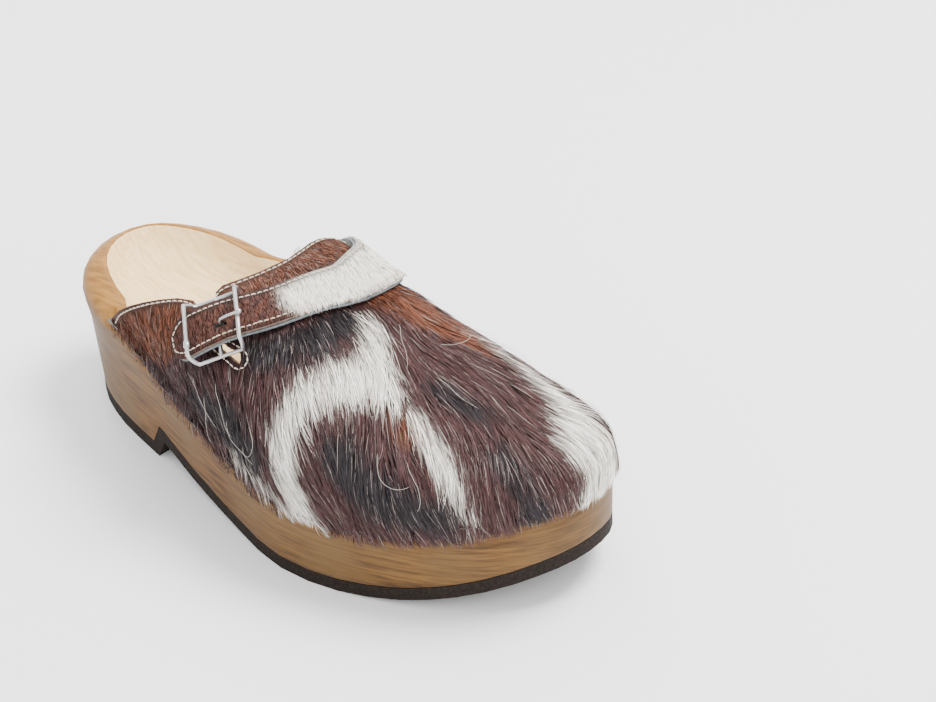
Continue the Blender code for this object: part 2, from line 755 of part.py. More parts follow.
def buckle_axes():
    """Origin on the hide under the centre bar, with the strap's along, width and outward directions."""
    def read(table):
        value = np.array([np.interp(BAR_STATION, STATIONS, table[:, k]) for k in range(3)])
        return value / np.linalg.norm(value)

    origin = np.array([np.interp(BAR_STATION, STATIONS, LINE[:, k]) for k in range(3)])
    out = read(OUT)
    along = read(ALONG)
    return origin + out * HIDE_TOP, along, read(WIDTH), out


ORIGIN, TO_TIP, ACROSS, OUTWARD = buckle_axes()


def at_buckle(along, across, up):
    return ORIGIN + TO_TIP * along + ACROSS * across + OUTWARD * up


def arc(centre, radius, start, end, steps, across=0.0):
    """Points of an arc in the plane of the strap's length and the outward direction."""
    points = []
    for i in range(steps + 1):
        turn = math.radians(blend(start, end, i / steps))
        along = centre[0] + radius * math.cos(turn)
        points.append(at_buckle(along, across, centre[1] + radius * math.sin(turn)))
    return points


SIDE_BAR_HEIGHT = STRAP_OVER_BAR + STRAP_STACK + GAP + WIRE


def buckle_frame(nickel):
    """Wire frame: a centre bar, and two side bars over the strap that curl down to rails under its edges."""
    corner = []
    low, high = BAR_HEIGHT, SIDE_BAR_HEIGHT
    half, reach = FRAME_HALF_WIDTH, FRAME_REACH
    for share in np.linspace(0, 1, 5):
        turn = share * math.pi / 2
        corner.append((reach - BAR_CURL * (1 - math.cos(turn)),
                       half - BAR_CURL * 0.5 + BAR_CURL * math.sin(turn),
                       blend(high, low, share)))
    path = []
    path += [at_buckle(x, y, z) for x, y, z in corner]
    path += [at_buckle(-x, y, z) for x, y, z in reversed(corner)]
    path += [at_buckle(-x, -y, z) for x, y, z in corner]
    path += [at_buckle(x, -y, z) for x, y, z in reversed(corner)]
    frame = tube("buckle_frame", path, WIRE, nickel, closed=True)
    rail = half + BAR_CURL * 0.5
    bar = tube("centre_bar_tool", [at_buckle(0, -rail, low), at_buckle(0, rail, low)], WIRE, None)
    bead = tube("bead_tool", [at_buckle(reach, 5.6, high), at_buckle(reach, 8.4, high)], WIRE + 0.45, None)
    return wire_union(frame, (bar, bead))


def weld(mesh):
    """Join a wire's end caps to its sides."""
    shape = bmesh.new()
    shape.from_mesh(mesh)
    bmesh.ops.remove_doubles(shape, verts=shape.verts, dist=0.00002)
    bmesh.ops.recalc_face_normals(shape, faces=shape.faces)
    shape.to_mesh(mesh)
    shape.free()


def wire_union(curve, tools):
    """Turn a wire and what is soldered to it into one mesh object."""
    graph = bpy.context.evaluated_depsgraph_get()
    parts = []
    for thing in (curve, *tools):
        mesh = bpy.data.meshes.new_from_object(thing.evaluated_get(graph))
        weld(mesh)
        parts.append((thing.name, mesh, thing.data.materials[0] if thing.data.materials else None))
        bpy.data.objects.remove(thing)
    name, mesh, made_of = parts[0]
    mesh.materials.clear()
    joined = new_object(name, mesh, made_of)
    for tool_name, tool_mesh, _ in parts[1:]:
        combine(joined, new_object(tool_name, tool_mesh), "UNION")
    shade(joined)
    return joined


def buckle_prong(nickel):
    """Pin hooked over the centre bar, coming up through the strap with its tip on the side bar."""
    rest = SIDE_BAR_HEIGHT + WIRE + GAP + PRONG_WIRE
    path = arc((0, BAR_HEIGHT), WIRE + GAP + PRONG_WIRE, -60, 115, 9, PRONG_ACROSS)
    for along, up in ((-2.2, BAR_HEIGHT + 2.9), (-3.0, BAR_HEIGHT + 4.8), (-4.8, rest - 0.6), (-8.0, rest),
                      (-FRAME_REACH, rest), (-FRAME_REACH - 1.6, rest - 0.1)):
        path.append(at_buckle(along, PRONG_ACROSS, up))
    pin = tube("buckle_prong", path, PRONG_WIRE, nickel)
    return wire_union(pin, ())


def prong_hole(name):
    """Cutter for the strap's oblong hole."""
    shape = block(at_buckle(-3.1, PRONG_ACROSS, BAR_HEIGHT + 3.0), TO_TIP, ACROSS, OUTWARD, (2.8, 1.3, 5.5))
    return new_object(name, make_mesh(name, *shape))


def buckle_chape(leather):
    """Leather loop round the centre bar, folded flat and riveted to the quarter under the strap's tip."""
    inner = WIRE + GAP
    outer = inner + CHAPE_THICK
    turns = np.linspace(270, 70, 11)
    outside, inside = [
        [(radius * math.cos(math.radians(t)), BAR_HEIGHT + radius * math.sin(math.radians(t))) for t in turns]
        for radius in (outer, inner)
    ]
    low = CHAPE_BASE
    flat_top = low + 2 * CHAPE_THICK
    profile = [
        (CHAPE_LENGTH, low), (CHAPE_LENGTH * 0.6, low), (CHAPE_LENGTH * 0.3, low), *outside,
        (outer + 2.0, flat_top + 0.6), (outer + 4.5, flat_top), (CHAPE_LENGTH * 0.75, flat_top),
        (CHAPE_LENGTH, flat_top),
    ]
    eye = [(outer + 0.8, low + CHAPE_THICK + 0.15), *inside[::-1]]

    def folded(name, outline, half_width):
        rings = [[on_hide(BAR_STATION + x, y, z) for x, z in outline] for y in (-half_width, half_width)]
        return make_mesh(name, *ring_solid(rings))

    chape = new_object("buckle_chape", folded("buckle_chape", profile, CHAPE_HALF_WIDTH), leather)
    tool = new_object("chape_eye_tool", folded("chape_eye_tool", eye, CHAPE_HALF_WIDTH + 2))
    combine(chape, tool, "DIFFERENCE")
    slot = block(at_buckle(-1.0, PRONG_ACROSS, BAR_HEIGHT), TO_TIP, ACROSS, OUTWARD, (4.6, 1.6, 8.0))
    combine(chape, new_object("chape_slot_tool", make_mesh("chape_slot_tool", *slot)), "DIFFERENCE")
    hole = cylinder(*rivet_axes(), RIVET_STEM + GAP, -3, 8, 12)
    combine(chape, new_object("chape_hole_tool", make_mesh("chape_hole_tool", *hole)), "DIFFERENCE")
    shade(chape)
    return chape


def cylinder(base, up, sideways, radius, low, high, sides):
    """Points and faces of a cylinder along up."""
    other = np.cross(up, sideways)
    rings = []
    for height in (low, high):
        ring = []
        for i in range(sides):
            turn = 2 * math.pi * i / sides
            spoke = sideways * math.cos(turn) + other * math.sin(turn)
            ring.append(base + up * height + spoke * radius)
        rings.append(ring)
    return ring_solid(rings)


def rivet_axes():
    """Foot of the rivet on the hide, its outward axis and a direction square to it."""
    station = BAR_STATION + RIVET_AT
    foot = on_hide(station, 0.0, 0.0)
    up = on_hide(station, 0.0, 1.0) - foot
    sideways = on_hide(station, 1.0, 0.0) - foot
    sideways -= up * float(sideways @ up)
    return foot, up, sideways / np.linalg.norm(sideways)


def rivet_profile():
    """Radius and height pairs from the inner washer to the domed cap."""
    inside = -HIDE_TOP - LINING_THICK - GAP
    cap = CHAPE_BASE + 2 * CHAPE_THICK + GAP
    return ((0.4, inside - 0.8), (RIVET_RADIUS, inside - 0.6), (RIVET_RADIUS, inside), (RIVET_STEM, inside),
            (RIVET_STEM, cap), (RIVET_RADIUS, cap), (RIVET_RADIUS - 0.6, cap + 0.5), (0.4, cap + 0.75))


def chape_rivet(nickel):
    """Rivet through the chape, the hide and the lining."""
    foot, up, sideways = rivet_axes()
    other = np.cross(up, sideways)
    rings = []
    for radius, height in rivet_profile():
        ring = []
        for i in range(16):
            turn = 2 * math.pi * i / 16
            ring.append(foot + up * height + (sideways * math.cos(turn) + other * math.sin(turn)) * radius)
        rings.append(ring)
    rivet = new_object("chape_rivet", make_mesh("chape_rivet", *ring_solid(rings)), nickel)
    shade(rivet)
    return rivet


def rivet_hole(name):
    shape = cylinder(*rivet_axes(), RIVET_STEM + GAP, -9, 4, 12)
    return new_object(name, make_mesh(name, *shape))


# ---------------------------------------------------------------- stitching

def lifted_tongue(x, side, share, lift):
    _, normal = upper_skin(x, side, share, 0.0)
    return tongue_point(x, side, share) + normal * lift


def slit_loop(side, lift):
    """Stitch line from the quarter's back corner, round the slit and up to the tongue's middle."""
    end = SLIT_END_X[side]
    back = UPPER_BACK_X[side]
    points = []
    for x in np.linspace(back + 4.0, end - 7.0, 16):
        share = slit_share(x, side, False) - THREAD_INSET / rib_length(x, side)
        points.append(upper_skin(x, side, share, lift)[0])
    middle = (slit_share(end, side, False) + 2.0 / rib_length(end, side))
    for turn in np.linspace(-120, 120, 9):
        away = 5.0 * math.cos(math.radians(turn))
        across = 5.0 * math.sin(math.radians(turn))
        x = end - 1.5 + away
        points.append(upper_skin(x, side, middle + across / rib_length(x, side), lift)[0])
    corner = TONGUE_CORNER[side][0]
    for x in np.linspace(end - 7.5, corner + TONGUE_CORNER_RADIUS, 6):
        share = slit_share(x, side, True) + THREAD_INSET / rib_length(x, side)
        points.append(lifted_tongue(x, side, share, lift))
    for from_edge in np.linspace(4.6, 31.0, 8):
        x = tongue_start(side, from_edge) + THREAD_INSET * 0.9
        lip = slit_share(x, side, True)
        share = blend(lip, 1.0, from_edge / 33.0)
        points.append(lifted_tongue(x, side, min(share, 0.99), lift))
    return points


def topline_wire(name, radius, made_of=None):
    """Stitching a few millimetres inside the whole upper edge of the hide."""
    lift = HIDE_TOP + GAP + THREAD_RADIUS
    path = slit_loop("lateral", lift) + slit_loop("medial", lift)[::-1]
    return wire_union(tube(name, smooth_path(path, 110), radius, made_of, resolution=1), ())


def strap_thread(cotton):
    path = smooth_path(strap_edge_path(STRAP_STACK + GAP + THREAD_RADIUS), 64)
    return wire_union(tube("strap_thread", path, THREAD_RADIUS, cotton, resolution=1), ())


def smooth_path(points, count):
    """The same route with evenly spaced points on one smooth curve."""
    points = np.array(points)
    lengths = np.concatenate([[0], np.cumsum(np.linalg.norm(np.diff(points, axis=0), axis=1))])
    where = np.linspace(0, lengths[-1], count)
    return np.array([through(list(zip(lengths, points[:, k])), where) for k in range(3)]).T


# ---------------------------------------------------------------- staples

def staple_frame(x, side, height, lift):
    """Middle of a staple's crown, the direction along it and the direction out of the wood."""
    angle = side_angle(x, side)
    ahead = outline_point(angle + 0.01, 0.0) - outline_point(angle - 0.01, 0.0)
    along = np.array([*(ahead / np.linalg.norm(ahead)), 0.0])
    inset = flare(x) - RECESS
    spot = outline_point(angle, inset)
    out = np.array([*(outline_point(angle, inset + 1) - spot), 0.0])
    z = float(through(SHELF[side], x)) + height
    return np.array([*spot, z]) + out * lift, along, out


def staple_shapes(crown, along, out, leg):
    """Three bars of one staple: a crown and two legs, as one bent wire of square section."""
    up = np.cross(along, out)
    half = STAPLE_CROWN / 2
    path = [(-half, -leg), (-half, 0.0), (half, 0.0), (half, -leg)]
    inner = [(-half + STAPLE_WIRE * 2, -leg), (-half + STAPLE_WIRE * 2, -STAPLE_WIRE * 2),
             (half - STAPLE_WIRE * 2, -STAPLE_WIRE * 2), (half - STAPLE_WIRE * 2, -leg)]
    points, faces = [], []
    for k in (-1, 1):
        points += [crown + along * a + out * o + up * STAPLE_WIRE * k for a, o in path]
        points += [crown + along * a + out * o + up * STAPLE_WIRE * k for a, o in inner]
    for i in range(3):
        faces.append((i, i + 1, i + 5, i + 4))
        faces.append((i + 12, i + 13, i + 9, i + 8))
        faces.append((i, i + 8, i + 9, i + 1))
        faces.append((i + 4, i + 5, i + 13, i + 12))
    faces.append((0, 4, 12, 8))
    faces.append((3, 11, 15, 7))
    return points, faces


def leg_holes(crown, along, out, leg):
    """Cutters round both legs of a staple, from below its crown to past its points."""
    up = np.cross(along, out)
    shapes = []
    for end in (-1, 1):
        middle = crown + along * end * (STAPLE_CROWN / 2 - STAPLE_WIRE) - out * (leg / 2 + 0.6)
        half = (STAPLE_WIRE + GAP, STAPLE_WIRE + GAP, leg / 2 + 1.4)
        shapes.append(block(middle, along, up, out, half))
    return shapes


# Outer face of the crown from the rebate's wall
UPPER_CROWN_LIFT = WALL_GAP + LINING_THICK + HIDE_TOP + GAP + 2 * STAPLE_WIRE + 0.1


def upper_staple_places():
    places = []
    for side in SIDES:
        for x in STAPLE_XS:
            if x > UPPER_BACK_X[side] and not (side == "medial" and abs(x - STRAP_PATH[0][0]) < 16):
                places.append(staple_frame(x, side, STAPLE_HEIGHT, UPPER_CROWN_LIFT))
    return places


def strap_staple_places():
    """Two staples through the strap's medial end."""
    places = []
    for station in (3.5, 10.5):
        middle = on_strap(station, 0.0, STRAP_STACK + GAP + 2 * STAPLE_WIRE)
        out = np.array([np.interp(station, STATIONS, OUT[:, k]) for k in range(3)])
        out /= np.linalg.norm(out)
        across = np.array([np.interp(station, STATIONS, WIDTH[:, k]) for k in range(3)])
        across -= out * float(across @ out)
        places.append((middle, across / np.linalg.norm(across), out))
    return places


def staples(name, places, leg, steel):
    """One object for each staple."""
    for number, (crown, along, out) in enumerate(places, start=1):
        shape = staple_shapes(crown, along, out, leg)
        made = new_object(f"{name}_{number}", make_mesh(f"{name}_{number}", *shape), steel)
        made.data.shade_flat()


def staple_tool(name, places, leg):
    shapes = []
    for crown, along, out in places:
        shapes += leg_holes(crown, along, out, leg)
    return new_object(name, make_mesh(name, *join_shapes(shapes)))


# ---------------------------------------------------------------- assembly

def clear_scene():
    for thing in list(bpy.data.objects):
        bpy.data.objects.remove(thing)


def set_origin():
    """Put the origin under the middle of the clog's box, on the ground."""
    graph = bpy.context.evaluated_depsgraph_get()
    corners = []
    for thing in bpy.data.objects:
        if not thing.hide_render:
            corners += [v.co for v in thing.evaluated_get(graph).to_mesh().vertices]
    low = [min(c[k] for c in corners) for k in range(3)]
    high = [max(c[k] for c in corners) for k in range(3)]
    shift = Matrix.Translation((-(low[0] + high[0]) / 2, -(low[1] + high[1]) / 2, -low[2]))
    for thing in bpy.data.objects:
        thing.data.transform(shift)


def build():
    clear_scene()
    wood = material("stained_wood", (0.42, 0.27, 0.12), 0.5)
    rubber = material("rubber", (0.03, 0.026, 0.022), 0.8)
    hair = material("cowhide", (0.16, 0.05, 0.025), 0.7)
    tan = material("lining_leather", (0.62, 0.42, 0.22), 0.7)
    grey = material("backing_leather", (0.32, 0.38, 0.4), 0.7)
    nickel = material("nickel", (0.7, 0.69, 0.66), 0.25, 1.0)
    steel = material("staple_steel", (0.55, 0.54, 0.52), 0.35, 1.0)
    cotton = material("thread", (0.8, 0.76, 0.68), 0.8)

    sole = wooden_sole(wood)
    rubber_outsole(rubber)
    points, faces = upper_sheet()
    lining = thicken("upper_lining", points, faces, -LINING_THICK, 0.0, tan)
    hide = thicken("upper_hide", points, faces, GAP, GAP + HIDE_THICK, hair)
    backing = strap_layer("strap_backing", 0.0, BACKING_THICK, 0.0, grey)
    strap = strap_layer("strap_hide", BACKING_THICK + GAP, STRAP_STACK, 0.3, hair)
    topline_wire("topline_thread", THREAD_RADIUS, cotton)
    strap_thread(cotton)
    buckle_frame(nickel)
    buckle_prong(nickel)
    chape = buckle_chape(grey)
    chape_rivet(nickel)
    staples("upper_staple", upper_staple_places(), STAPLE_LEG, steel)
    staples("strap_staple", strap_staple_places(), STRAP_STAPLE_LEG, steel)

    upper_tool = staple_tool("upper_staple_tool", upper_staple_places(), STAPLE_LEG)
    strap_tool = staple_tool("strap_staple_tool", strap_staple_places(), STRAP_STAPLE_LEG)
    stem_tool = rivet_hole("rivet_tool")
    prong_tool = prong_hole("prong_tool")
    for layer in (sole, lining, hide):
        combine(layer, upper_tool, "DIFFERENCE")
        combine(layer, strap_tool, "DIFFERENCE")
    for layer in (lining, hide):
        combine(layer, stem_tool, "DIFFERENCE")
    for layer in (backing, strap):
        combine(layer, strap_tool, "DIFFERENCE")
        combine(layer, prong_tool, "DIFFERENCE")
    combine(chape, topline_wire("groove_tool", THREAD_RADIUS + GAP), "DIFFERENCE")
    set_origin()


build()
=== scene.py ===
"""Looks of the hide clog: stained wood, rubber, long hair in mesh strands, stitches, nickel and soft light.

Lengths are in millimetres along the frame's axes (+X toe, +Y medial, +Z up).
"""

import math

import bmesh
import bpy
import numpy as np
from mathutils import Matrix, Vector
from mathutils.bvhtree import BVHTree
from mathutils.kdtree import KDTree


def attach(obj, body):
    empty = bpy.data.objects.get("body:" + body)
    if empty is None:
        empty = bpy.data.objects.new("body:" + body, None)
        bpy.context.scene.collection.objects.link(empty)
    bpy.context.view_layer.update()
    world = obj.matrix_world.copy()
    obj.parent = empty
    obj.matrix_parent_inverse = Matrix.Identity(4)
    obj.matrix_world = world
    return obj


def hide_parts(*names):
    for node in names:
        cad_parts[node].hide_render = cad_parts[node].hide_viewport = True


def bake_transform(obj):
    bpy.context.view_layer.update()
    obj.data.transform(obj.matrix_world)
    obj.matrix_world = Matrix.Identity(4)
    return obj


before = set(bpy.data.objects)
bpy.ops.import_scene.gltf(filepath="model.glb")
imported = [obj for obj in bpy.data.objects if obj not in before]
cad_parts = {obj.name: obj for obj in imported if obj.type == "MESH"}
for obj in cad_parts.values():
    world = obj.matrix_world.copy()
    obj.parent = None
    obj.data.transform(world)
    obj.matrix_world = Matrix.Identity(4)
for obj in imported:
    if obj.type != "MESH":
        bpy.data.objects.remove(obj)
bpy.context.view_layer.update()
MM = 0.001
rng = np.random.default_rng(7)

# Camera, solved from the outlines of the pair of shoes
CAMERA_AZIMUTH = 45.053
CAMERA_ELEVATION = 34.057
CAMERA_ROLL = -2.845
CAMERA_DISTANCE = 1321.6
CAMERA_LENS = 119.81
CAMERA_TARGET = (34.76, 58.31, 50.41)
SENSOR_WIDTH = 36.0

# Room, in metres
FLOOR_REACH = 6
FLOOR_COLOUR = (0.90, 0.895, 0.895)
WORLD_COLOUR = (0.97, 0.98, 1.0)
WORLD_STRENGTH = 1.8
LIGHTS = (  # name, place, size, watts, colour
    ("key", (0.35, 0.55, 1.25), 0.7, 40.0, (1.0, 0.985, 0.96)),
    ("fill", (0.9, -0.7, 0.9), 1.0, 8.0, (0.96, 0.98, 1.0)),
    ("back", (-0.9, 0.4, 0.7), 0.6, 6.0, (1.0, 1.0, 1.0)),
)

# Sole
FLARE = ((-137, 4.5), (-85, 4.5), (-40, 2.5), (0, 1.0), (137, 0.5))  # (x, wall beyond the tread's outline)
OUTLINE_CENTRE = (0.0, 6.6)  # a point that all of the tread's outline goes round
HEEL_RIM = 11.95  # stained wood round the bare footbed, behind the upper
UPPER_RIM = 7.2  # the same beside the upper
FOOTBED_BOTTOM = 24.0
UPPER_BACK_X = {"lateral": -85.1, "medial": -59.1}
MIDDLE_Y = 14.0
INSIDE_FRONT_X = 80.0  # the line through the inside of the upper ends here
INSIDE_HEIGHT = 45.0
OUTWARD = 0.3  # a face whose normal leans out by more than this cosine is on the hair side
WELD = 0.00001  # metres

# Stitches
TOPLINE_STITCH = (2.3, 0.3)  # length, radius
STRAP_STITCH = (2.1, 0.27)
STITCH_GAP = 0.55
STITCH_DIP = 0.28
STITCH_SIDES = 6
STITCH_PROFILE = ((0.0, 0.35), (0.12, 0.9), (0.5, 1.05), (0.88, 0.9), (1.0, 0.35))  # (share, size)
LINE_STEP = 1.6  # spacing of the samples along a CAD thread
TIP_BALL_RADIUS = 1.25
BALL_SIDES = 14
BALL_RINGS = 9
PRONG_BACKWARD = (-0.7157, -0.5759, -0.3951)  # unit vector that points away from the prong's tip

# Hair: patches are chains of (x, y, z, radius)
WHITE_PATCHES = (
    ((30, 6, 90, 2.5), (41, -1, 87, 5.5), (48, -10, 84, 9), (46, -20, 81, 10), (36, -30, 78, 8)),
    ((46, -14, 83, 8), (62, -15, 79, 6)),
    ((35, -36, 74, 8), (35, -46, 64, 7), (40, -52, 52, 6), (47, -55, 40, 5), (56, -54, 30, 3)),
    ((6, -54, 46, 2), (28, -58, 40, 3), (45, -57, 33, 4)),
    ((76, -15, 75, 2.5), (94, -21, 68, 4), (107, -24, 60, 4), (116, -25, 50, 2)),
    ((55, 38, 80, 1.5), (81, 39, 75, 2.5), (104, 36, 71, 5),
     (118, 31, 69, 8), (130, 26, 63, 13), (137, 25, 50, 14)),
)
CHESTNUT_PATCHES = (
    ((6, 22, 93, 13), (28, 26, 90, 12), (44, 30, 85, 10), (66, 33, 80, 6)),
    ((72, -22, 74, 2), (80, -20, 73, 5)),
    ((-80, -40, 62, 9), (-50, -42, 74, 12), (-34, -30, 86, 12), (-24, 10, 92, 16), (-20, 36, 88, 14)),
)
BLACK_PATCHES = (
    ((-30, -54, 56, 8), (0, -56, 60, 12), (18, -54, 52, 9)),
    ((24, 0, 92, 7), (22, -18, 90, 9), (6, -34, 84, 8)),
    ((60, -42, 66, 9), (84, -44, 54, 10), (108, -34, 50, 8)),
    ((70, 0, 79, 4), (92, 4, 73, 6)),
    ((110, -6, 67, 5), (124, -6, 60, 7), (133, -6, 50, 7)),
)
STRAP_WHITE = ((4, -5, 98, 9), (8, 4, 99, 14), (6, 26, 95, 17), (-10, 44, 84, 17), (-36, 50, 64, 20))
WHITE = (0.80, 0.75, 0.67)
CHESTNUT = (0.13, 0.042, 0.020)
BROWN = (0.052, 0.023, 0.022)
BLACK = (0.019, 0.015, 0.017)
SILVER = (0.33, 0.27, 0.245)
UPPER_STRANDS = 27000  # before those on the stitches and the bare edge are left out
STRAP_STRANDS = 13000
STRAND_PARTS = 4  # cross-sections before the tip
STRAND_TAPER = (0.8, 1.0, 0.85, 0.55)  # share of the full width at each cross-section
# Painted shade: strands darken towards the root, among the other hairs, and lighten towards the tip as
# painted light
STRAND_PAINTED_SHADE = (0.55, 0.85, 1.05, 1.15)  # brightness at each cross-section
TIP_PAINTED_LIGHT = 1.2
SHORT_HAIR = 5.0  # behind the strap
VAMP_HAIR = 10.0
TOE_EXTRA = 8.0  # added over the vamp, towards the toe
EDGE_BAND = 12.0  # this close to the hide's lower edge the hair is lifted over the staples
WILD_SHARE = 0.035
SILVER_SHARE = 0.08
FINE_WIDTH = 0.15
BARE_STRIP = 4.0  # no hair this close to the stitches on their outer side
STRAY_RADIUS = 0.055
STRAY_POINTS = 14
STRAY_STEP = 1.9
STRAY_ROOTS = (
    (-22, -45, 66), (-14, -48, 62), (-8, -46, 70), (2, -52, 60), (14, -52, 52), (26, -46, 66), (34, -50, 56),
    (44, -46, 60), (56, -38, 68), (62, -44, 58), (74, -34, 66), (86, -30, 66), (98, -8, 70), (70, 4, 80),
    (58, 18, 84), (90, 20, 74), (40, 14, 88), (20, 40, 80), (60, 46, 70), (96, 44, 62),
)


def metres(points):
    return np.asarray(points, float) * MM


def smoothstep(low, high, value):
    share = np.clip((value - low) / (high - low), 0.0, 1.0)
    return share * share * (3 - 2 * share)


def unit(vectors):
    return vectors / np.maximum(np.linalg.norm(vectors, axis=-1, keepdims=True), 1e-9)


# ---------------------------------------------------------------- pieces

def welded(node):
    shape = bmesh.new()
    shape.from_mesh(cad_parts[node].data)
    bmesh.ops.remove_doubles(shape, verts=shape.verts, dist=WELD)
    return shape


def copy_of(node, name, body=None, sharp=40, flat_panels=False):
    """A welded, smooth-shaded copy of a CAD node that stands for it."""
    shape = welded(node)
    if flat_panels:
        bmesh.ops.dissolve_limit(shape, angle_limit=math.radians(1.5), verts=shape.verts, edges=shape.edges)
    mesh = bpy.data.meshes.new(name)
    shape.to_mesh(mesh)
    shape.free()
    mesh.shade_smooth()
    mesh.set_sharp_from_angle(angle=math.radians(sharp))
    piece = bpy.data.objects.new(name, mesh)
    bpy.context.scene.collection.objects.link(piece)
    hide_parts(node)
    if body:
        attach(piece, body)
    return piece


def mesh_piece(name, points, faces, made_of):
    mesh = bpy.data.meshes.new(name)
    mesh.from_pydata([tuple(p) for p in metres(points)], [], faces)
    mesh.materials.append(made_of)
    mesh.shade_smooth()
    piece = bpy.data.objects.new(name, mesh)
    bpy.context.scene.collection.objects.link(piece)
    return piece


def bend_with_strap(piece):
    """Moves the piece's placement into its mesh; the strap is not bent here."""
    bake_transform(piece)


def vertices_of(mesh):
    points = np.zeros(len(mesh.vertices) * 3)
    mesh.vertices.foreach_get("co", points)
    return points.reshape(-1, 3) / MM


def set_floats(mesh, name, values):
    mesh.attributes.new(name, "FLOAT", "POINT").data.foreach_set("value", np.asarray(values, np.float32))


def set_colours(mesh, name, colours):
    rgba = np.column_stack([colours, np.ones(len(colours))]).astype(np.float32)
    mesh.attributes.new(name, "FLOAT_COLOR", "POINT").data.foreach_set("color", rgba.ravel())


# ---------------------------------------------------------------- materials

class Surface:
    """A Principled material with a few helpers for its node tree."""

    def __init__(self, name, colour=(0.5, 0.5, 0.5), roughness=0.5, metallic=0.0, specular=0.5):
        self.material = bpy.data.materials.new(name)
        self.material.use_nodes = True
        self.tree = self.material.node_tree
        self.shader = self.tree.nodes["Principled BSDF"]
        self.shader.inputs["Base Color"].default_value = (*colour, 1.0)
        self.shader.inputs["Roughness"].default_value = roughness
        self.shader.inputs["Metallic"].default_value = metallic
        self.shader.inputs["Specular IOR Level"].default_value = specular

    def link(self, output, target, socket):
        self.tree.links.new(output, target.inputs[socket])

    def attribute(self, name, output="Fac"):
        node = self.tree.nodes.new("ShaderNodeAttribute")
        node.attribute_name = name
        return node.outputs[output]

    def noise(self, stretch, scale, detail=4.0, roughness=0.55):
        """Noise over the piece's own coordinates, stretched per axis."""
        place = self.tree.nodes.new("ShaderNodeTexCoord")
        mapping = self.tree.nodes.new("ShaderNodeMapping")
        mapping.inputs["Scale"].default_value = stretch
        noise = self.tree.nodes.new("ShaderNodeTexNoise")
        noise.inputs["Scale"].default_value = scale
        noise.inputs["Detail"].default_value = detail
        noise.inputs["Roughness"].default_value = roughness
        self.link(place.outputs["Object"], mapping, "Vector")
        self.link(mapping.outputs["Vector"], noise, "Vector")
        return noise.outputs["Fac"]

    def ramp(self, value, *stops):
        """Colours at positions, as (position, colour) pairs."""
        node = self.tree.nodes.new("ShaderNodeValToRGB")
        elements = node.color_ramp.elements
        while len(elements) < len(stops):
            elements.new(0.5)
        for element, (place, colour) in zip(elements, stops):
            element.position = place
            element.color = (*colour, 1.0)
        self.link(value, node, "Fac")
        return node.outputs["Color"]

    def mix(self, factor, a, b, mode="MIX"):
        node = self.tree.nodes.new("ShaderNodeMix")
        node.data_type = "RGBA"
        node.blend_type = mode
        for socket, value in ((node.inputs[0], factor), (node.inputs[6], a), (node.inputs[7], b)):
            if isinstance(value, bpy.types.NodeSocket):
                self.tree.links.new(value, socket)
            elif isinstance(value, tuple):
                socket.default_value = (*value, 1.0)
            else:
                socket.default_value = value
        return node.outputs[2]

    def spread(self, value, low, high, to_low=0.0, to_high=1.0):
        """value mapped from low..high to to_low..to_high."""
        node = self.tree.nodes.new("ShaderNodeMapRange")
        node.inputs["From Min"].default_value = low
        node.inputs["From Max"].default_value = high
        node.inputs["To Min"].default_value = to_low
        node.inputs["To Max"].default_value = to_high
        self.link(value, node, "Value")
        return node.outputs["Result"]

    def bump(self, value, distance, strength=1.0):
        node = self.tree.nodes.new("ShaderNodeBump")
        node.inputs["Distance"].default_value = distance * MM
        node.inputs["Strength"].default_value = strength
        self.link(value, node, "Height")
        self.link(node.outputs["Normal"], self.shader, "Normal")

    def colour(self, output):
        self.link(output, self.shader, "Base Color")


def wood_material():
    """Olive-brown stain outside, a golden top edge on the walls, lighter on the faces that look up as
    painted light, and a bare, pale footbed.
    """
    wood = Surface("stained_wood", roughness=0.5, specular=0.2)
    grain = wood.noise((7.0, 70.0, 30.0), 9.0, detail=6.0)
    layers = wood.noise((5.0, 7.0, 85.0), 9.0, detail=6.0)
    cloud = wood.noise((14.0, 14.0, 14.0), 1.6, detail=3.0)
    side = wood.ramp(
        layers, (0.36, (0.045, 0.017, 0.003)), (0.5, (0.10, 0.044, 0.009)), (0.64, (0.16, 0.075, 0.017)))
    side = wood.mix(wood.spread(cloud, 0.45, 0.75), side, (0.115, 0.065, 0.022))
    # Painted light: the faces that look up get a lighter golden colour than the walls
    top_grain_and_painted_light = wood.ramp(grain, (0.36, (0.22, 0.092, 0.014)), (0.64, (0.36, 0.175, 0.036)))
    bed = wood.ramp(grain, (0.25, (0.74, 0.47, 0.20)), (0.55, (0.87, 0.63, 0.33)), (0.8, (0.93, 0.72, 0.42)))
    outside = wood.mix(wood.attribute("top_grain_and_painted_light"), side, top_grain_and_painted_light)
    wood.colour(wood.mix(wood.spread(wood.attribute("bare"), 0.42, 0.58), outside, bed))
    wood.bump(wood.mix(wood.attribute("top_grain_and_painted_light"), layers, grain), 0.1, 0.3)
    return wood.material


def rubber_material():
    rubber = Surface("rubber", roughness=0.8, specular=0.12)
    grit = rubber.noise((1.0, 1.0, 1.0), 900.0, detail=3.0)
    rubber.colour(rubber.ramp(grit, (0.35, (0.009, 0.006, 0.005)), (0.7, (0.022, 0.016, 0.012))))
    rubber.bump(grit, 0.1, 0.5)
    return rubber.material


def leather_material(name, dark, light, scale=500.0):
    leather = Surface(name, roughness=0.72, specular=0.3)
    nap = leather.noise((1.0, 1.0, 1.0), scale, detail=5.0)
    cloud = leather.noise((1.0, 1.0, 1.0), 60.0, detail=3.0)
    blend = leather.mix(0.5, nap, cloud)
    leather.colour(leather.ramp(blend, (0.38, dark), (0.62, light)))
    leather.bump(nap, 0.12, 0.6)
    return leather.material


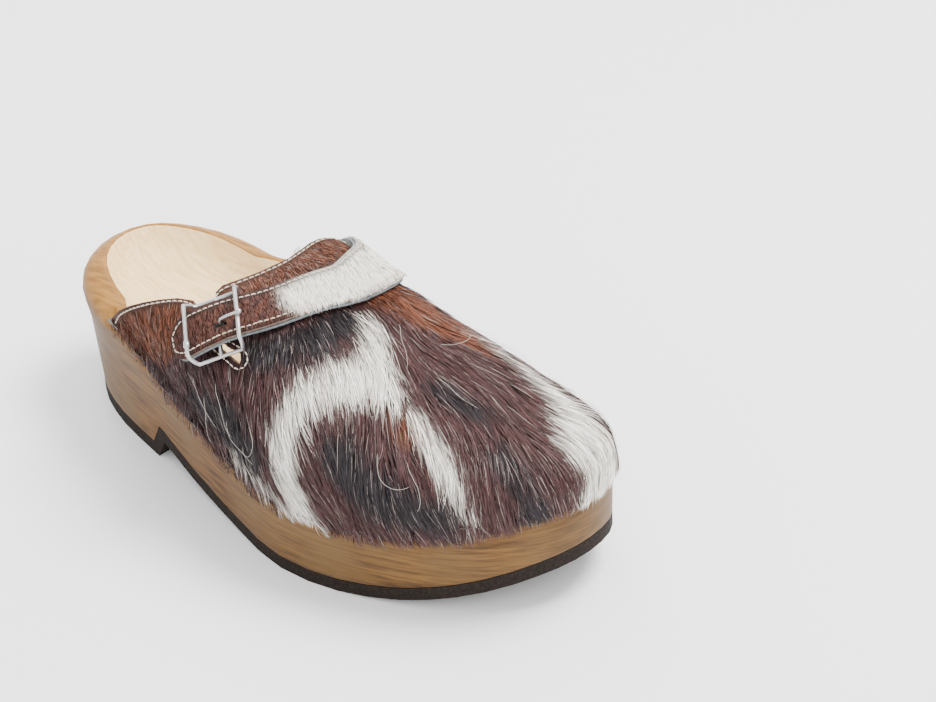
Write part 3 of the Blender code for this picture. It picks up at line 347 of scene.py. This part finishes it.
def pelt_material():
    """Skin under the hair: the coat's colour, darkened as painted shade in paint_hide, with fine streaks
    along the hair's direction.
    """
    pelt = Surface("pelt", roughness=0.7, specular=0.2)
    streak = pelt.noise((30.0, 260.0, 200.0), 6.0, detail=4.0)
    shade = pelt.ramp(streak, (0.3, (0.35, 0.35, 0.35)), (0.7, (0.95, 0.95, 0.95)))
    pelt.colour(pelt.mix(1.0, pelt.attribute("coat", "Color"), shade, "MULTIPLY"))
    pelt.bump(streak, 0.3, 0.6)
    return pelt.material


def hair_material():
    hair = Surface("hair", roughness=0.45, specular=0.22)
    hair.colour(hair.attribute("coat", "Color"))
    return hair.material


def metal_material(name, colour, smoothest, dullest):
    """Metal whose roughness wanders between two values with fine scuffs."""
    metal = Surface(name, colour, metallic=1.0)
    scuff = metal.noise((1.0, 1.0, 1.0), 700.0, detail=2.0)
    metal.link(metal.spread(scuff, 0.0, 1.0, smoothest, dullest), metal.shader, "Roughness")
    metal.bump(scuff, 0.02, 0.4)
    return metal.material


def thread_material():
    thread = Surface("thread", roughness=0.7, specular=0.2)
    twist = thread.noise((1.0, 1.0, 1.0), 1500.0, detail=2.0)
    thread.colour(thread.ramp(twist, (0.3, (0.42, 0.34, 0.26)), (0.7, (0.70, 0.62, 0.52))))
    return thread.material


# ---------------------------------------------------------------- sole

def outline_polygon():
    """The tread's outline seen from above, in order round the sole."""
    points = vertices_of(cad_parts["rubber_outsole"].data)[:, :2]
    from_centre = points - np.array(OUTLINE_CENTRE)
    turns = np.round(np.arctan2(from_centre[:, 1], from_centre[:, 0]), 3)
    _, first = np.unique(turns, return_index=True)
    return points[first]


def inset_of(points):
    """How far inside the wooden wall each point is, seen from above."""
    polygon = outline_polygon()
    nearest = np.full(len(points), 1e9)
    for a, b in zip(polygon, np.roll(polygon, -1, axis=0)):
        run = b - a
        share = np.clip(((points[:, :2] - a) @ run) / max(float(run @ run), 1e-9), 0, 1)
        gap = points[:, :2] - (a + share[:, None] * run)
        outward = np.array([run[1], -run[0]]) / max(float(np.linalg.norm(run)), 1e-9)
        signed = -np.sign(gap @ outward) * np.linalg.norm(gap, axis=1)
        nearest = np.where(np.abs(signed) < np.abs(nearest), signed, nearest)
    flare = np.interp(points[:, 0], [f[0] for f in FLARE], [f[1] for f in FLARE])
    return nearest + flare


def dress_sole(wood):
    sole = copy_of("wooden_sole", "sole_wood", "shoe", sharp=38)
    sole.data.materials.append(wood)
    points = vertices_of(sole.data)
    inset = inset_of(points)
    back = np.where(points[:, 1] < MIDDLE_Y, UPPER_BACK_X["lateral"], UPPER_BACK_X["medial"])
    beside_upper = smoothstep(-5.0, 2.0, points[:, 0] - back)
    rim_width = HEEL_RIM * (1 - beside_upper) + UPPER_RIM * beside_upper
    facing_up = np.array([v.normal.z for v in sole.data.vertices])
    set_floats(sole.data, "bare", (inset > rim_width) & (facing_up > 0) & (points[:, 2] > FOOTBED_BOTTOM))
    # Painted light: a mask that is 1 on faces that look up, which are painted lighter; it also picks the
    # grain for the bump
    set_floats(sole.data, "top_grain_and_painted_light", smoothstep(0.1, 0.6, facing_up))
    return sole


# ---------------------------------------------------------------- stitches

def distances_from(start):
    """Length of the shortest way along the edges from one vertex to every other."""
    far = {start: 0.0}
    edge = [start]
    while edge:
        ahead = []
        for vert in edge:
            for link in vert.link_edges:
                other = link.other_vert(vert)
                length = far[vert] + link.calc_length()
                if length < far.get(other, 1e9) - 1e-9:
                    far[other] = length
                    ahead.append(other)
        edge = ahead
    return far


def centreline(node, step):
    """Evenly spaced points along a thin tube from one end to the other."""
    shape = welded(node)
    shape.verts.ensure_lookup_table()
    from_anywhere = distances_from(shape.verts[0])
    from_end = distances_from(max(from_anywhere, key=from_anywhere.get))
    order = sorted(from_end, key=from_end.get)
    lengths = np.array([from_end[v] for v in order]) / MM
    places = np.array([v.co for v in order]) / MM
    shape.free()
    middles = []
    for low in np.arange(0.0, lengths[-1], LINE_STEP):
        near = (lengths >= low) & (lengths < low + 2 * LINE_STEP)
        if near.any():
            middles.append(places[near].mean(axis=0))
    line = np.array(middles)
    travelled = np.concatenate([[0], np.cumsum(np.linalg.norm(np.diff(line, axis=0), axis=1))])
    where = np.arange(0.0, travelled[-1], step)
    return np.array([np.interp(where, travelled, line[:, k]) for k in range(3)]).T


def stitches(name, node, stitch, cotton):
    """Separate stitches along a CAD thread, as short rods that dip into the leather at both ends."""
    length, radius = stitch
    line = centreline(node, length + STITCH_GAP)
    sides = STITCH_SIDES
    last_ring = (len(STITCH_PROFILE) - 1) * sides
    points, faces = [], []
    for a, b in zip(line[:-1], line[1:]):
        along = unit(b - a)
        across = unit(np.cross(along, (0.0, 0.0, 1.0)))
        up = np.cross(across, along)
        start = len(points)
        for share, size in STITCH_PROFILE:
            middle = a + along * length * share - up * STITCH_DIP * (2 * share - 1) ** 4
            for k in range(sides):
                turn = 2 * math.pi * k / sides
                points.append(middle + (across * math.cos(turn) + up * math.sin(turn)) * radius * size)
        for r in range(len(STITCH_PROFILE) - 1):
            for k in range(sides):
                low, high = start + r * sides, start + (r + 1) * sides
                faces.append((low + k, low + (k + 1) % sides, high + (k + 1) % sides, high + k))
        faces.append(tuple(start + k for k in range(sides))[::-1])
        faces.append(tuple(start + last_ring + k for k in range(sides)))
    piece = mesh_piece(name, points, faces, cotton)
    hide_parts(node)
    return piece, line


# ---------------------------------------------------------------- hair

def patch_share(points, chains, soft=2.5):
    """1 inside a set of patches, falling to 0 outside; the edge is ragged."""
    nearest = np.full(len(points), 1e9)
    for chain in chains:
        chain = np.array(chain, float)
        for a, b in zip(chain[:-1], chain[1:]):
            run = b[:3] - a[:3]
            share = np.clip(((points - a[:3]) @ run) / float(run @ run), 0, 1)
            radius = a[3] + share * (b[3] - a[3])
            gap = np.linalg.norm(points - (a[:3] + share[:, None] * run), axis=1) - radius
            nearest = np.minimum(nearest, gap)
    return 1 - smoothstep(-soft, soft, nearest)


def coat_colour(points, scatter=0.0):
    """The coat's colour at points on the upper."""
    points = points + rng.normal(0, 1, points.shape) * scatter
    colour = np.tile(BROWN, (len(points), 1))
    for chains, paint in ((CHESTNUT_PATCHES, CHESTNUT), (BLACK_PATCHES, BLACK), (WHITE_PATCHES, WHITE)):
        share = patch_share(points, chains)[:, None]
        colour = colour * (1 - share) + np.array(paint) * share
    return colour


def strap_colour(points, scatter=0.0):
    points = points + rng.normal(0, 1, points.shape) * scatter
    share = patch_share(points, (STRAP_WHITE,), soft=4.0)[:, None]
    streak = 0.45 + 0.4 * np.sin(points[:, 0] * 0.9 + points[:, 1] * 0.35) * np.sin(points[:, 1] * 0.23)
    brown = np.array(BROWN) * (0.8 - 0.6 * streak[:, None]) + np.array(CHESTNUT) * streak[:, None] * 0.8
    return brown * (1 - share) + np.array(WHITE) * 1.05 * share


def tree_of(*meshes):
    points, faces = [], []
    for mesh in meshes:
        start = len(points)
        points += [v.co / MM for v in mesh.vertices]
        faces += [tuple(i + start for i in p.vertices) for p in mesh.polygons]
    return BVHTree.FromPolygons(points, faces)


def looks_out(face):
    """True for a face of the hide or the strap that looks away from the inside of the shoe."""
    centre = np.array(face.center) / MM
    inside = np.array([min(centre[0], INSIDE_FRONT_X), MIDDLE_Y, INSIDE_HEIGHT])
    return float(np.array(face.normal) @ unit(centre - inside)) > OUTWARD


def outer_faces(mesh):
    """The hair side as triangles, with normals as long as twice their areas."""
    found = []
    for face in mesh.polygons:
        if looks_out(face):
            corners = [np.array(mesh.vertices[i].co) / MM for i in face.vertices]
            for k in range(1, len(corners) - 1):
                found.append((corners[0], corners[k], corners[k + 1]))
    triangles = np.array(found)
    normals = np.cross(triangles[:, 1] - triangles[:, 0], triangles[:, 2] - triangles[:, 0])
    return triangles, normals


def scatter_roots(triangles, normals, count):
    areas = np.linalg.norm(normals, axis=1)
    chosen = rng.choice(len(triangles), count, p=areas / areas.sum())
    u, v = rng.random(count), rng.random(count)
    u, v = np.where(u + v > 1, 1 - u, u), np.where(u + v > 1, 1 - v, v)
    a, b, c = (triangles[chosen, k] for k in range(3))
    return a + u[:, None] * (b - a) + v[:, None] * (c - a), unit(normals[chosen])


def finder(points):
    """A tree that finds the nearest of some points."""
    tree = KDTree(len(points))
    for i, point in enumerate(points):
        tree.insert(point, i)
    tree.balance()
    return tree


def distances_to(points, line):
    tree = finder(line)
    return np.array([tree.find(p)[2] for p in points])


def lay_strands(roots, normals, flow, lengths, heights, surface):
    """Middles of each strand's cross-sections as it runs over the surface, and the normals there."""
    count = len(roots)
    path = np.zeros((count, STRAND_PARTS + 1, 3))
    ups = np.zeros_like(path)
    place, up = roots.copy(), normals.copy()
    path[:, 0], ups[:, 0] = place, up
    direction = flow
    for part in range(1, STRAND_PARTS + 1):
        direction = direction - up * np.sum(direction * up, axis=1, keepdims=True)
        direction = unit(direction + np.array([0.0, 0.0, -0.10]))
        place = place + direction * (lengths / STRAND_PARTS)[:, None]
        share = part / STRAND_PARTS
        lift = 0.25 + heights * (share ** 0.7)
        for i in range(count):
            spot, normal, _, _ = surface.find_nearest(Vector(place[i]))
            up[i] = normal
            flat = np.array(spot)
            away = float((place[i] - flat) @ up[i])
            if away < lift[i] + 3.0:
                place[i] = place[i] + up[i] * (lift[i] - away)
        path[:, part], ups[:, part] = place, up
    return path, ups


def gather(path, roots, clump_count, pull):
    """Draw the strands' tips together in locks."""
    centres = rng.choice(len(roots), clump_count, replace=False)
    tree = finder(roots[centres])
    owner = np.array([centres[tree.find(r)[1]] for r in roots])
    for part in range(1, STRAND_PARTS + 1):
        share = (part / STRAND_PARTS) ** 1.5 * pull
        path[:, part] += (path[owner, part] - path[:, part]) * share[:, None]


def strands(name, path, ups, widths, colours, made_of):
    """One mesh of tapered ribbons, each with its own colour, darker at its root as painted shade and lighter
    at its tip as painted light.
    """
    count = len(path)
    along = unit(np.gradient(path, axis=1))
    roll = rng.normal(0, 0.5, count)[:, None, None]
    across = unit(np.cross(ups, along))
    across = unit(across * np.cos(roll) + np.cross(along, across) * np.sin(roll))
    taper = np.array(STRAND_TAPER)[None, :, None] * widths[:, None, None] / 2
    left = path[:, :STRAND_PARTS] - across[:, :STRAND_PARTS] * taper
    right = path[:, :STRAND_PARTS] + across[:, :STRAND_PARTS] * taper
    points = np.concatenate([left, right, path[:, STRAND_PARTS:]], axis=1).reshape(-1, 3)
    size = 2 * STRAND_PARTS + 1
    faces = []
    for s in range(count):
        a = s * size
        for k in range(STRAND_PARTS - 1):
            faces.append((a + k, a + STRAND_PARTS + k, a + STRAND_PARTS + k + 1, a + k + 1))
        faces.append((a + STRAND_PARTS - 1, a + 2 * STRAND_PARTS - 1, a + 2 * STRAND_PARTS))
    piece = mesh_piece(name, points, faces, made_of)
    # Painted shade at the root and painted light at the tip, multiplied into each strand's colour
    shade = np.array([*STRAND_PAINTED_SHADE, *STRAND_PAINTED_SHADE, TIP_PAINTED_LIGHT])
    coat = colours[:, None, :] * shade[None, :, None]
    set_colours(piece.data, "coat", np.clip(coat.reshape(-1, 3), 0, 1))
    lay_out(piece.data, count)
    return piece


def lay_out(mesh, count):
    """A texture layout with one narrow cell for each strand."""
    rows = math.ceil(math.sqrt(count))
    parts = np.arange(STRAND_PARTS) / STRAND_PARTS
    across = np.concatenate([np.zeros(STRAND_PARTS), np.ones(STRAND_PARTS), [0.5]])
    along = np.concatenate([parts, parts, [1.0]])
    cell = np.arange(count)
    u = ((cell % rows)[:, None] + 0.15 + 0.7 * across[None, :]) / rows
    v = ((cell // rows)[:, None] + 0.1 + 0.8 * along[None, :]) / rows
    corners = np.zeros(len(mesh.loops), int)
    mesh.loops.foreach_get("vertex_index", corners)
    places = np.column_stack([u.ravel(), v.ravel()])[corners]
    mesh.uv_layers.new(name="OFBake").data.foreach_set("uv", places.astype(np.float32).ravel())


def hair_flow(points, normals):
    """Hair lies towards the toe and fans out and down over both sides."""
    sideways = np.clip(0.015 * (points[:, 1] - 26.0), -0.75, 0.4)
    flow = np.column_stack([np.ones(len(points)), sideways, np.full(len(points), -0.6)])
    wave = np.sin(points[:, 0] * 0.11 + points[:, 1] * 0.07) * 0.16 + rng.normal(0, 0.13, len(points))
    flow += np.cross(normals, flow) * wave[:, None]
    return unit(flow - normals * np.sum(flow * normals, axis=1, keepdims=True))


def beside_strap(roots, ups, strap):
    """Whether each root is behind the strap, and how far from it along the hide."""
    strap_tree = tree_of(strap)
    strap_at = np.array([strap_tree.find_nearest(Vector(r))[0] for r in roots])
    aside = strap_at - roots
    aside = np.linalg.norm(aside - ups * np.sum(aside * ups, axis=1, keepdims=True), axis=1)
    behind = (strap_at[:, 0] > roots[:, 0]) | (roots[:, 0] < -22)
    return behind, aside


def upper_lengths(roots, behind, pressed, aside, above_edge):
    """Long on the vamp, short behind the strap, and only a little past the hide's lower edge."""
    count = len(roots)
    lengths = np.where(behind, SHORT_HAIR, VAMP_HAIR + TOE_EXTRA * smoothstep(5, 50, roots[:, 0]))
    lengths = lengths * rng.uniform(0.6, 1.25, count)
    lengths = np.where(behind, np.minimum(lengths, 0.75 * aside), lengths)
    lengths = np.where(pressed, rng.uniform(4.0, 7.0, count), lengths)
    return np.minimum(lengths, above_edge + rng.uniform(1.5, 5.5, count))


def upper_heights(behind, pressed, wild, above_edge):
    """How far each tip stands off the hide: flat under the strap, lifted over the staples."""
    count = len(behind)
    heights = np.where(behind, 0.5, 1.5) * rng.uniform(0.25, 1.3, count)
    heights = heights + wild * rng.uniform(1.0, 3.5, count)
    heights = np.where(pressed, rng.uniform(0.1, 0.45, count), heights)
    lifted = np.maximum(heights, rng.uniform(1.7, 2.7, count))
    return np.where(above_edge < EDGE_BAND, lifted, heights)


def grow_upper(hide, sole, strap, stitch_line, hair):
    """Long hair over the vamp, short hair behind the strap and pressed hair under it."""
    triangles, normals = outer_faces(hide)
    count = UPPER_STRANDS
    roots, ups = scatter_roots(triangles, normals, count)
    behind, aside = beside_strap(roots, ups, strap)
    keep = (distances_to(roots, stitch_line) > 0.9) & ~beyond_stitches(roots, stitch_line, tree_of(hide))
    roots, ups, behind, aside = roots[keep], ups[keep], behind[keep], aside[keep]
    count = len(roots)
    pressed = aside < np.where(behind, 2.0, 0.6)
    above_edge = roots[:, 2] - lower_edge(hide, roots)
    lengths = upper_lengths(roots, behind, pressed, aside, above_edge)
    wild = (rng.random(count) < WILD_SHARE) & ~behind & ~pressed & (above_edge > EDGE_BAND)
    heights = upper_heights(behind, pressed, wild, above_edge)
    lengths = lengths * np.where(wild, 1.25, 1.0)
    flow = hair_flow(roots, ups)
    path, path_ups = lay_strands(roots, ups, flow, lengths, heights, tree_of(hide, sole))
    gather(path, roots, count // 14, np.where(wild, 0.0, rng.uniform(0.2, 0.75, count)))
    colours = coat_colour(roots + flow * (lengths * 0.45)[:, None], scatter=1.4)
    colours *= rng.lognormal(0, 0.28, count)[:, None]
    silver = rng.random(count) < SILVER_SHARE
    colours = np.where(silver[:, None], np.array(SILVER), colours)
    widths = np.where(wild | silver, FINE_WIDTH, rng.uniform(0.26, 0.46, count)) * np.where(behind, 0.8, 1.0)
    groups = {
        "hair_rear": roots[:, 0] < 10,
        "hair_vamp": (roots[:, 0] >= 10) & (roots[:, 0] < 70),
        "hair_toe": roots[:, 0] >= 70,
    }
    for name, chosen in groups.items():
        piece = strands(name, path[chosen], path_ups[chosen], widths[chosen], colours[chosen], hair)
        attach(piece, "shoe")


def stray_hairs(surface, made_of):
    """A few long, fine hairs that curl clear of the coat."""
    curve = bpy.data.curves.new("stray_hairs", "CURVE")
    curve.dimensions = "3D"
    curve.bevel_depth = STRAY_RADIUS * MM
    curve.bevel_resolution = 1
    curve.materials.append(made_of)
    for start in STRAY_ROOTS:
        spot, normal, _, _ = surface.find_nearest(Vector(start))
        heading = Vector(hair_flow(np.array([spot]), np.array([normal]))[0])
        curl = rng.uniform(-0.16, 0.16)
        places = []
        for step in range(STRAY_POINTS):
            arch = math.sin(step / (STRAY_POINTS - 1) * math.pi) ** 0.8
            places.append(spot + normal * (0.6 + 3.2 * arch))
            heading = Matrix.Rotation(curl, 3, normal) @ heading
            curl += rng.uniform(-0.11, 0.11)
            spot, normal, _, _ = surface.find_nearest(spot + heading * STRAY_STEP)
        spline = curve.splines.new("NURBS")
        spline.points.add(len(places) - 1)
        spline.use_endpoint_u = True
        for point, place in zip(spline.points, places):
            point.co = (*(place * MM), 1.0)
    piece = bpy.data.objects.new("stray_hairs", curve)
    bpy.context.scene.collection.objects.link(piece)
    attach(piece, "shoe")


def lower_edge(hide, roots):
    """Height of the hide's bottom edge below each root."""
    corners = vertices_of(hide)
    lowest = np.zeros(len(roots))
    for lateral in (True, False):
        on_side = corners[(corners[:, 1] < MIDDLE_Y) == lateral]
        xs = np.arange(-92.0, 142.0, 6.0)
        edge = [on_side[np.abs(on_side[:, 0] - x) < 6.0][:, 2].min(initial=60.0) for x in xs]
        chosen = (roots[:, 1] < MIDDLE_Y) == lateral
        lowest[chosen] = np.interp(roots[chosen, 0], xs, edge)
    return lowest


def beyond_stitches(roots, line, hide_tree):
    """True for roots in the bare strip between the stitches and the cut edge."""
    along = unit(np.gradient(line, axis=0))
    inward = np.zeros_like(line)
    for i, point in enumerate(line):
        _, normal, _, _ = hide_tree.find_nearest(Vector(point))
        across = unit(np.cross(np.array(normal), along[i]))
        gaps = [hide_tree.find_nearest(Vector(point + across * reach * 3.6))[3] for reach in (-1, 1)]
        inward[i] = across * (1 if gaps[0] > gaps[1] else -1)
    tree = finder(line)
    outside = np.zeros(len(roots), bool)
    for k, root in enumerate(roots):
        _, i, gap = tree.find(root)
        outside[k] = gap < BARE_STRIP and float((root - line[i]) @ inward[i]) < 0.2
    return outside


def grow_strap(strap, stitch_line, hair):
    """Short hair on the strap, combed over the stitches of its front edge."""
    triangles, normals = outer_faces(strap)
    count = STRAP_STRANDS
    roots, ups = scatter_roots(triangles, normals, count)
    surface = tree_of(strap)
    keep = ~beyond_stitches(roots, stitch_line, surface) & (distances_to(roots, stitch_line) > 0.7)
    roots, ups = roots[keep], ups[keep]
    count = len(roots)
    white = patch_share(roots, (STRAP_WHITE,), soft=4.0)
    lengths = (3.4 + 3.4 * white) * rng.uniform(0.7, 1.15, count)
    heights = (0.35 + 0.35 * white) * rng.uniform(0.6, 1.2, count)
    flow = np.tile((0.9, -0.5, -0.35), (count, 1)) + rng.normal(0, 0.07, (count, 3))
    flow = unit(flow - ups * np.sum(flow * ups, axis=1, keepdims=True))
    path, path_ups = lay_strands(roots, ups, flow, lengths, heights, surface)
    gather(path, roots, count // 10, rng.uniform(0.1, 0.4, count))
    shade = rng.lognormal(0, 0.22 - 0.14 * white, count)
    colours = strap_colour(roots + flow * 2.0, scatter=1.0) * shade[:, None]
    widths = rng.uniform(0.2, 0.36, count)
    piece = strands("hair_strap", path, path_ups, widths, colours, hair)
    bend_with_strap(piece)


# ---------------------------------------------------------------- leather, metal

def paint_hide(piece, pelt, edge, colour_at):
    """Hair side in the coat's colour, darkened to 0.6 as painted shade under the hair; cut edges and flesh
    side plain.
    """
    mesh = piece.data
    mesh.materials.append(edge)
    mesh.materials.append(pelt)
    for face in mesh.polygons:
        face.material_index = int(looks_out(face))
    # Painted shade: the skin under the hair gets 0.6 of the coat's colour, for the shade that the hair casts
    # on it
    set_colours(mesh, "coat", colour_at(vertices_of(mesh)) * 0.6)


def add_ball(piece, centre, radius):
    """A small metal ball run onto a wire, built ring by ring so that its faces always come in one order."""
    shape = bmesh.new()
    shape.from_mesh(piece.data)
    rings = []
    for ring in range(BALL_RINGS + 1):
        polar = math.pi * ring / BALL_RINGS
        around = BALL_SIDES if 0 < ring < BALL_RINGS else 1
        turns = [2 * math.pi * k / around for k in range(around)]
        ways = [Vector((math.sin(polar) * math.sin(t), math.sin(polar) * math.cos(t), math.cos(polar)))
                for t in turns]
        rings.append([shape.verts.new((Vector(centre) + way * radius) * MM) for way in ways])
    for above, below in zip(rings[:-1], rings[1:]):
        for k in range(BALL_SIDES):
            corners = (above[(k + 1) % len(above)], below[(k + 1) % len(below)],
                       below[k % len(below)], above[k % len(above)])
            shape.faces.new(tuple(dict.fromkeys(corners)))
    for face in shape.faces:
        face.smooth = True
    shape.to_mesh(piece.data)
    shape.free()


def dress_buckle(nickel, suede):
    """The wire frame, the prong with a ball at its tip, and the leather loop with its rivet."""
    buckle = copy_of("buckle_frame", "buckle_wire", "buckle", sharp=60)
    prong = copy_of("buckle_prong", "prong_wire", "prong", sharp=60)
    points = vertices_of(prong.data)
    backward = points @ np.array(PRONG_BACKWARD)
    add_ball(prong, points[backward < backward.min() + 0.6].mean(axis=0), TIP_BALL_RADIUS)
    for piece in (buckle, prong):
        piece.data.materials.append(nickel)
    rivet = copy_of("chape_rivet", "rivet_head", "shoe", sharp=45)
    rivet.data.materials.append(nickel)
    loop = copy_of("buckle_chape", "buckle_loop", "shoe", sharp=45)
    loop.data.materials.append(suede)


def dress_staples(steel):
    """The staples keep their CAD meshes."""
    for node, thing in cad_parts.items():
        if "staple" in node:
            thing.data.materials.clear()
            thing.data.materials.append(steel)


# ---------------------------------------------------------------- room

def area_light(name, place, size, watts, colour):
    data = bpy.data.lights.new(name, "AREA")
    data.shape = "DISK"
    data.size = size
    data.energy = watts
    data.color = colour
    light = bpy.data.objects.new(name, data)
    light.location = place
    light.rotation_mode = "QUATERNION"
    light.rotation_quaternion = (-Vector(place)).to_track_quat("-Z", "Y")
    bpy.context.scene.collection.objects.link(light)


def make_room():
    reach = FLOOR_REACH
    mesh = bpy.data.meshes.new("floor")
    mesh.from_pydata([(-reach, -reach, 0), (reach, -reach, 0), (reach, reach, 0), (-reach, reach, 0)],
                     [], [(0, 1, 2, 3)])
    mesh.materials.append(Surface("floor", FLOOR_COLOUR, roughness=0.6, specular=0.2).material)
    floor = bpy.data.objects.new("floor", mesh)
    bpy.context.scene.collection.objects.link(floor)
    world = bpy.data.worlds.new("studio")
    world.use_nodes = True
    world.node_tree.nodes["Background"].inputs["Color"].default_value = (*WORLD_COLOUR, 1.0)
    world.node_tree.nodes["Background"].inputs["Strength"].default_value = WORLD_STRENGTH
    bpy.context.scene.world = world
    for light in LIGHTS:
        area_light(*light)


def make_camera():
    """The camera looks along -back; roll turns it about that line."""
    turn, lift, roll = (math.radians(a) for a in (CAMERA_AZIMUTH, CAMERA_ELEVATION, CAMERA_ROLL))
    back = Vector((math.sin(turn) * math.cos(lift), -math.cos(turn) * math.cos(lift), math.sin(lift)))
    camera = bpy.data.objects.new("camera", bpy.data.cameras.new("camera"))
    camera.data.sensor_width = SENSOR_WIDTH
    camera.data.lens = CAMERA_LENS
    camera.data.clip_start = 0.05
    camera.location = (Vector(CAMERA_TARGET) + back * CAMERA_DISTANCE) * MM
    level_right = Vector((math.cos(turn), math.sin(turn), 0.0))
    level_up = back.cross(level_right)
    right = level_right * math.cos(roll) + level_up * math.sin(roll)
    up = level_up * math.cos(roll) - level_right * math.sin(roll)
    camera.rotation_mode = "QUATERNION"
    camera.rotation_quaternion = Matrix((right, up, back)).transposed().to_quaternion()
    bpy.context.scene.collection.objects.link(camera)
    bpy.context.scene.camera = camera


def build():
    wood = wood_material()
    cotton = thread_material()
    suede = leather_material("backing_leather", (0.115, 0.135, 0.145), (0.21, 0.235, 0.245))
    edge = leather_material("hide_edge", (0.10, 0.065, 0.05), (0.22, 0.16, 0.125))
    sole = dress_sole(wood)
    rubber = copy_of("rubber_outsole", "tread_rubber", "shoe", sharp=35, flat_panels=True)
    rubber.data.materials.append(rubber_material())
    pelt, hair = pelt_material(), hair_material()
    hide = copy_of("upper_hide", "hide", "shoe", sharp=50)
    paint_hide(hide, pelt, edge, coat_colour)
    strap = copy_of("strap_hide", "strap_pelt", sharp=50)
    paint_hide(strap, pelt, edge, strap_colour)
    backing = copy_of("strap_backing", "strap_suede", sharp=50)
    backing.data.materials.append(suede)
    topline, line = stitches("topline_stitches", "topline_thread", TOPLINE_STITCH, cotton)
    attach(topline, "shoe")
    strap_stitches, strap_line = stitches("strap_stitches", "strap_thread", STRAP_STITCH, cotton)
    grow_upper(hide.data, sole.data, backing.data, line, hair)
    grow_strap(strap.data, strap_line, hair)
    stray_hairs(tree_of(hide.data), Surface("stray_hair", (0.62, 0.56, 0.50), roughness=0.4).material)
    for piece in (strap, backing, strap_stitches):
        bend_with_strap(piece)
    lining = copy_of("upper_lining", "lining", "shoe", sharp=50)
    lining.data.materials.append(
        leather_material("lining_leather", (0.36, 0.20, 0.09), (0.52, 0.33, 0.17), scale=350.0))
    dress_buckle(metal_material("nickel", (0.50, 0.49, 0.48), 0.2542, 0.5932), suede)
    dress_staples(metal_material("staple_steel", (0.06, 0.045, 0.04), 0.12, 0.52))
    make_room()
    make_camera()


build()
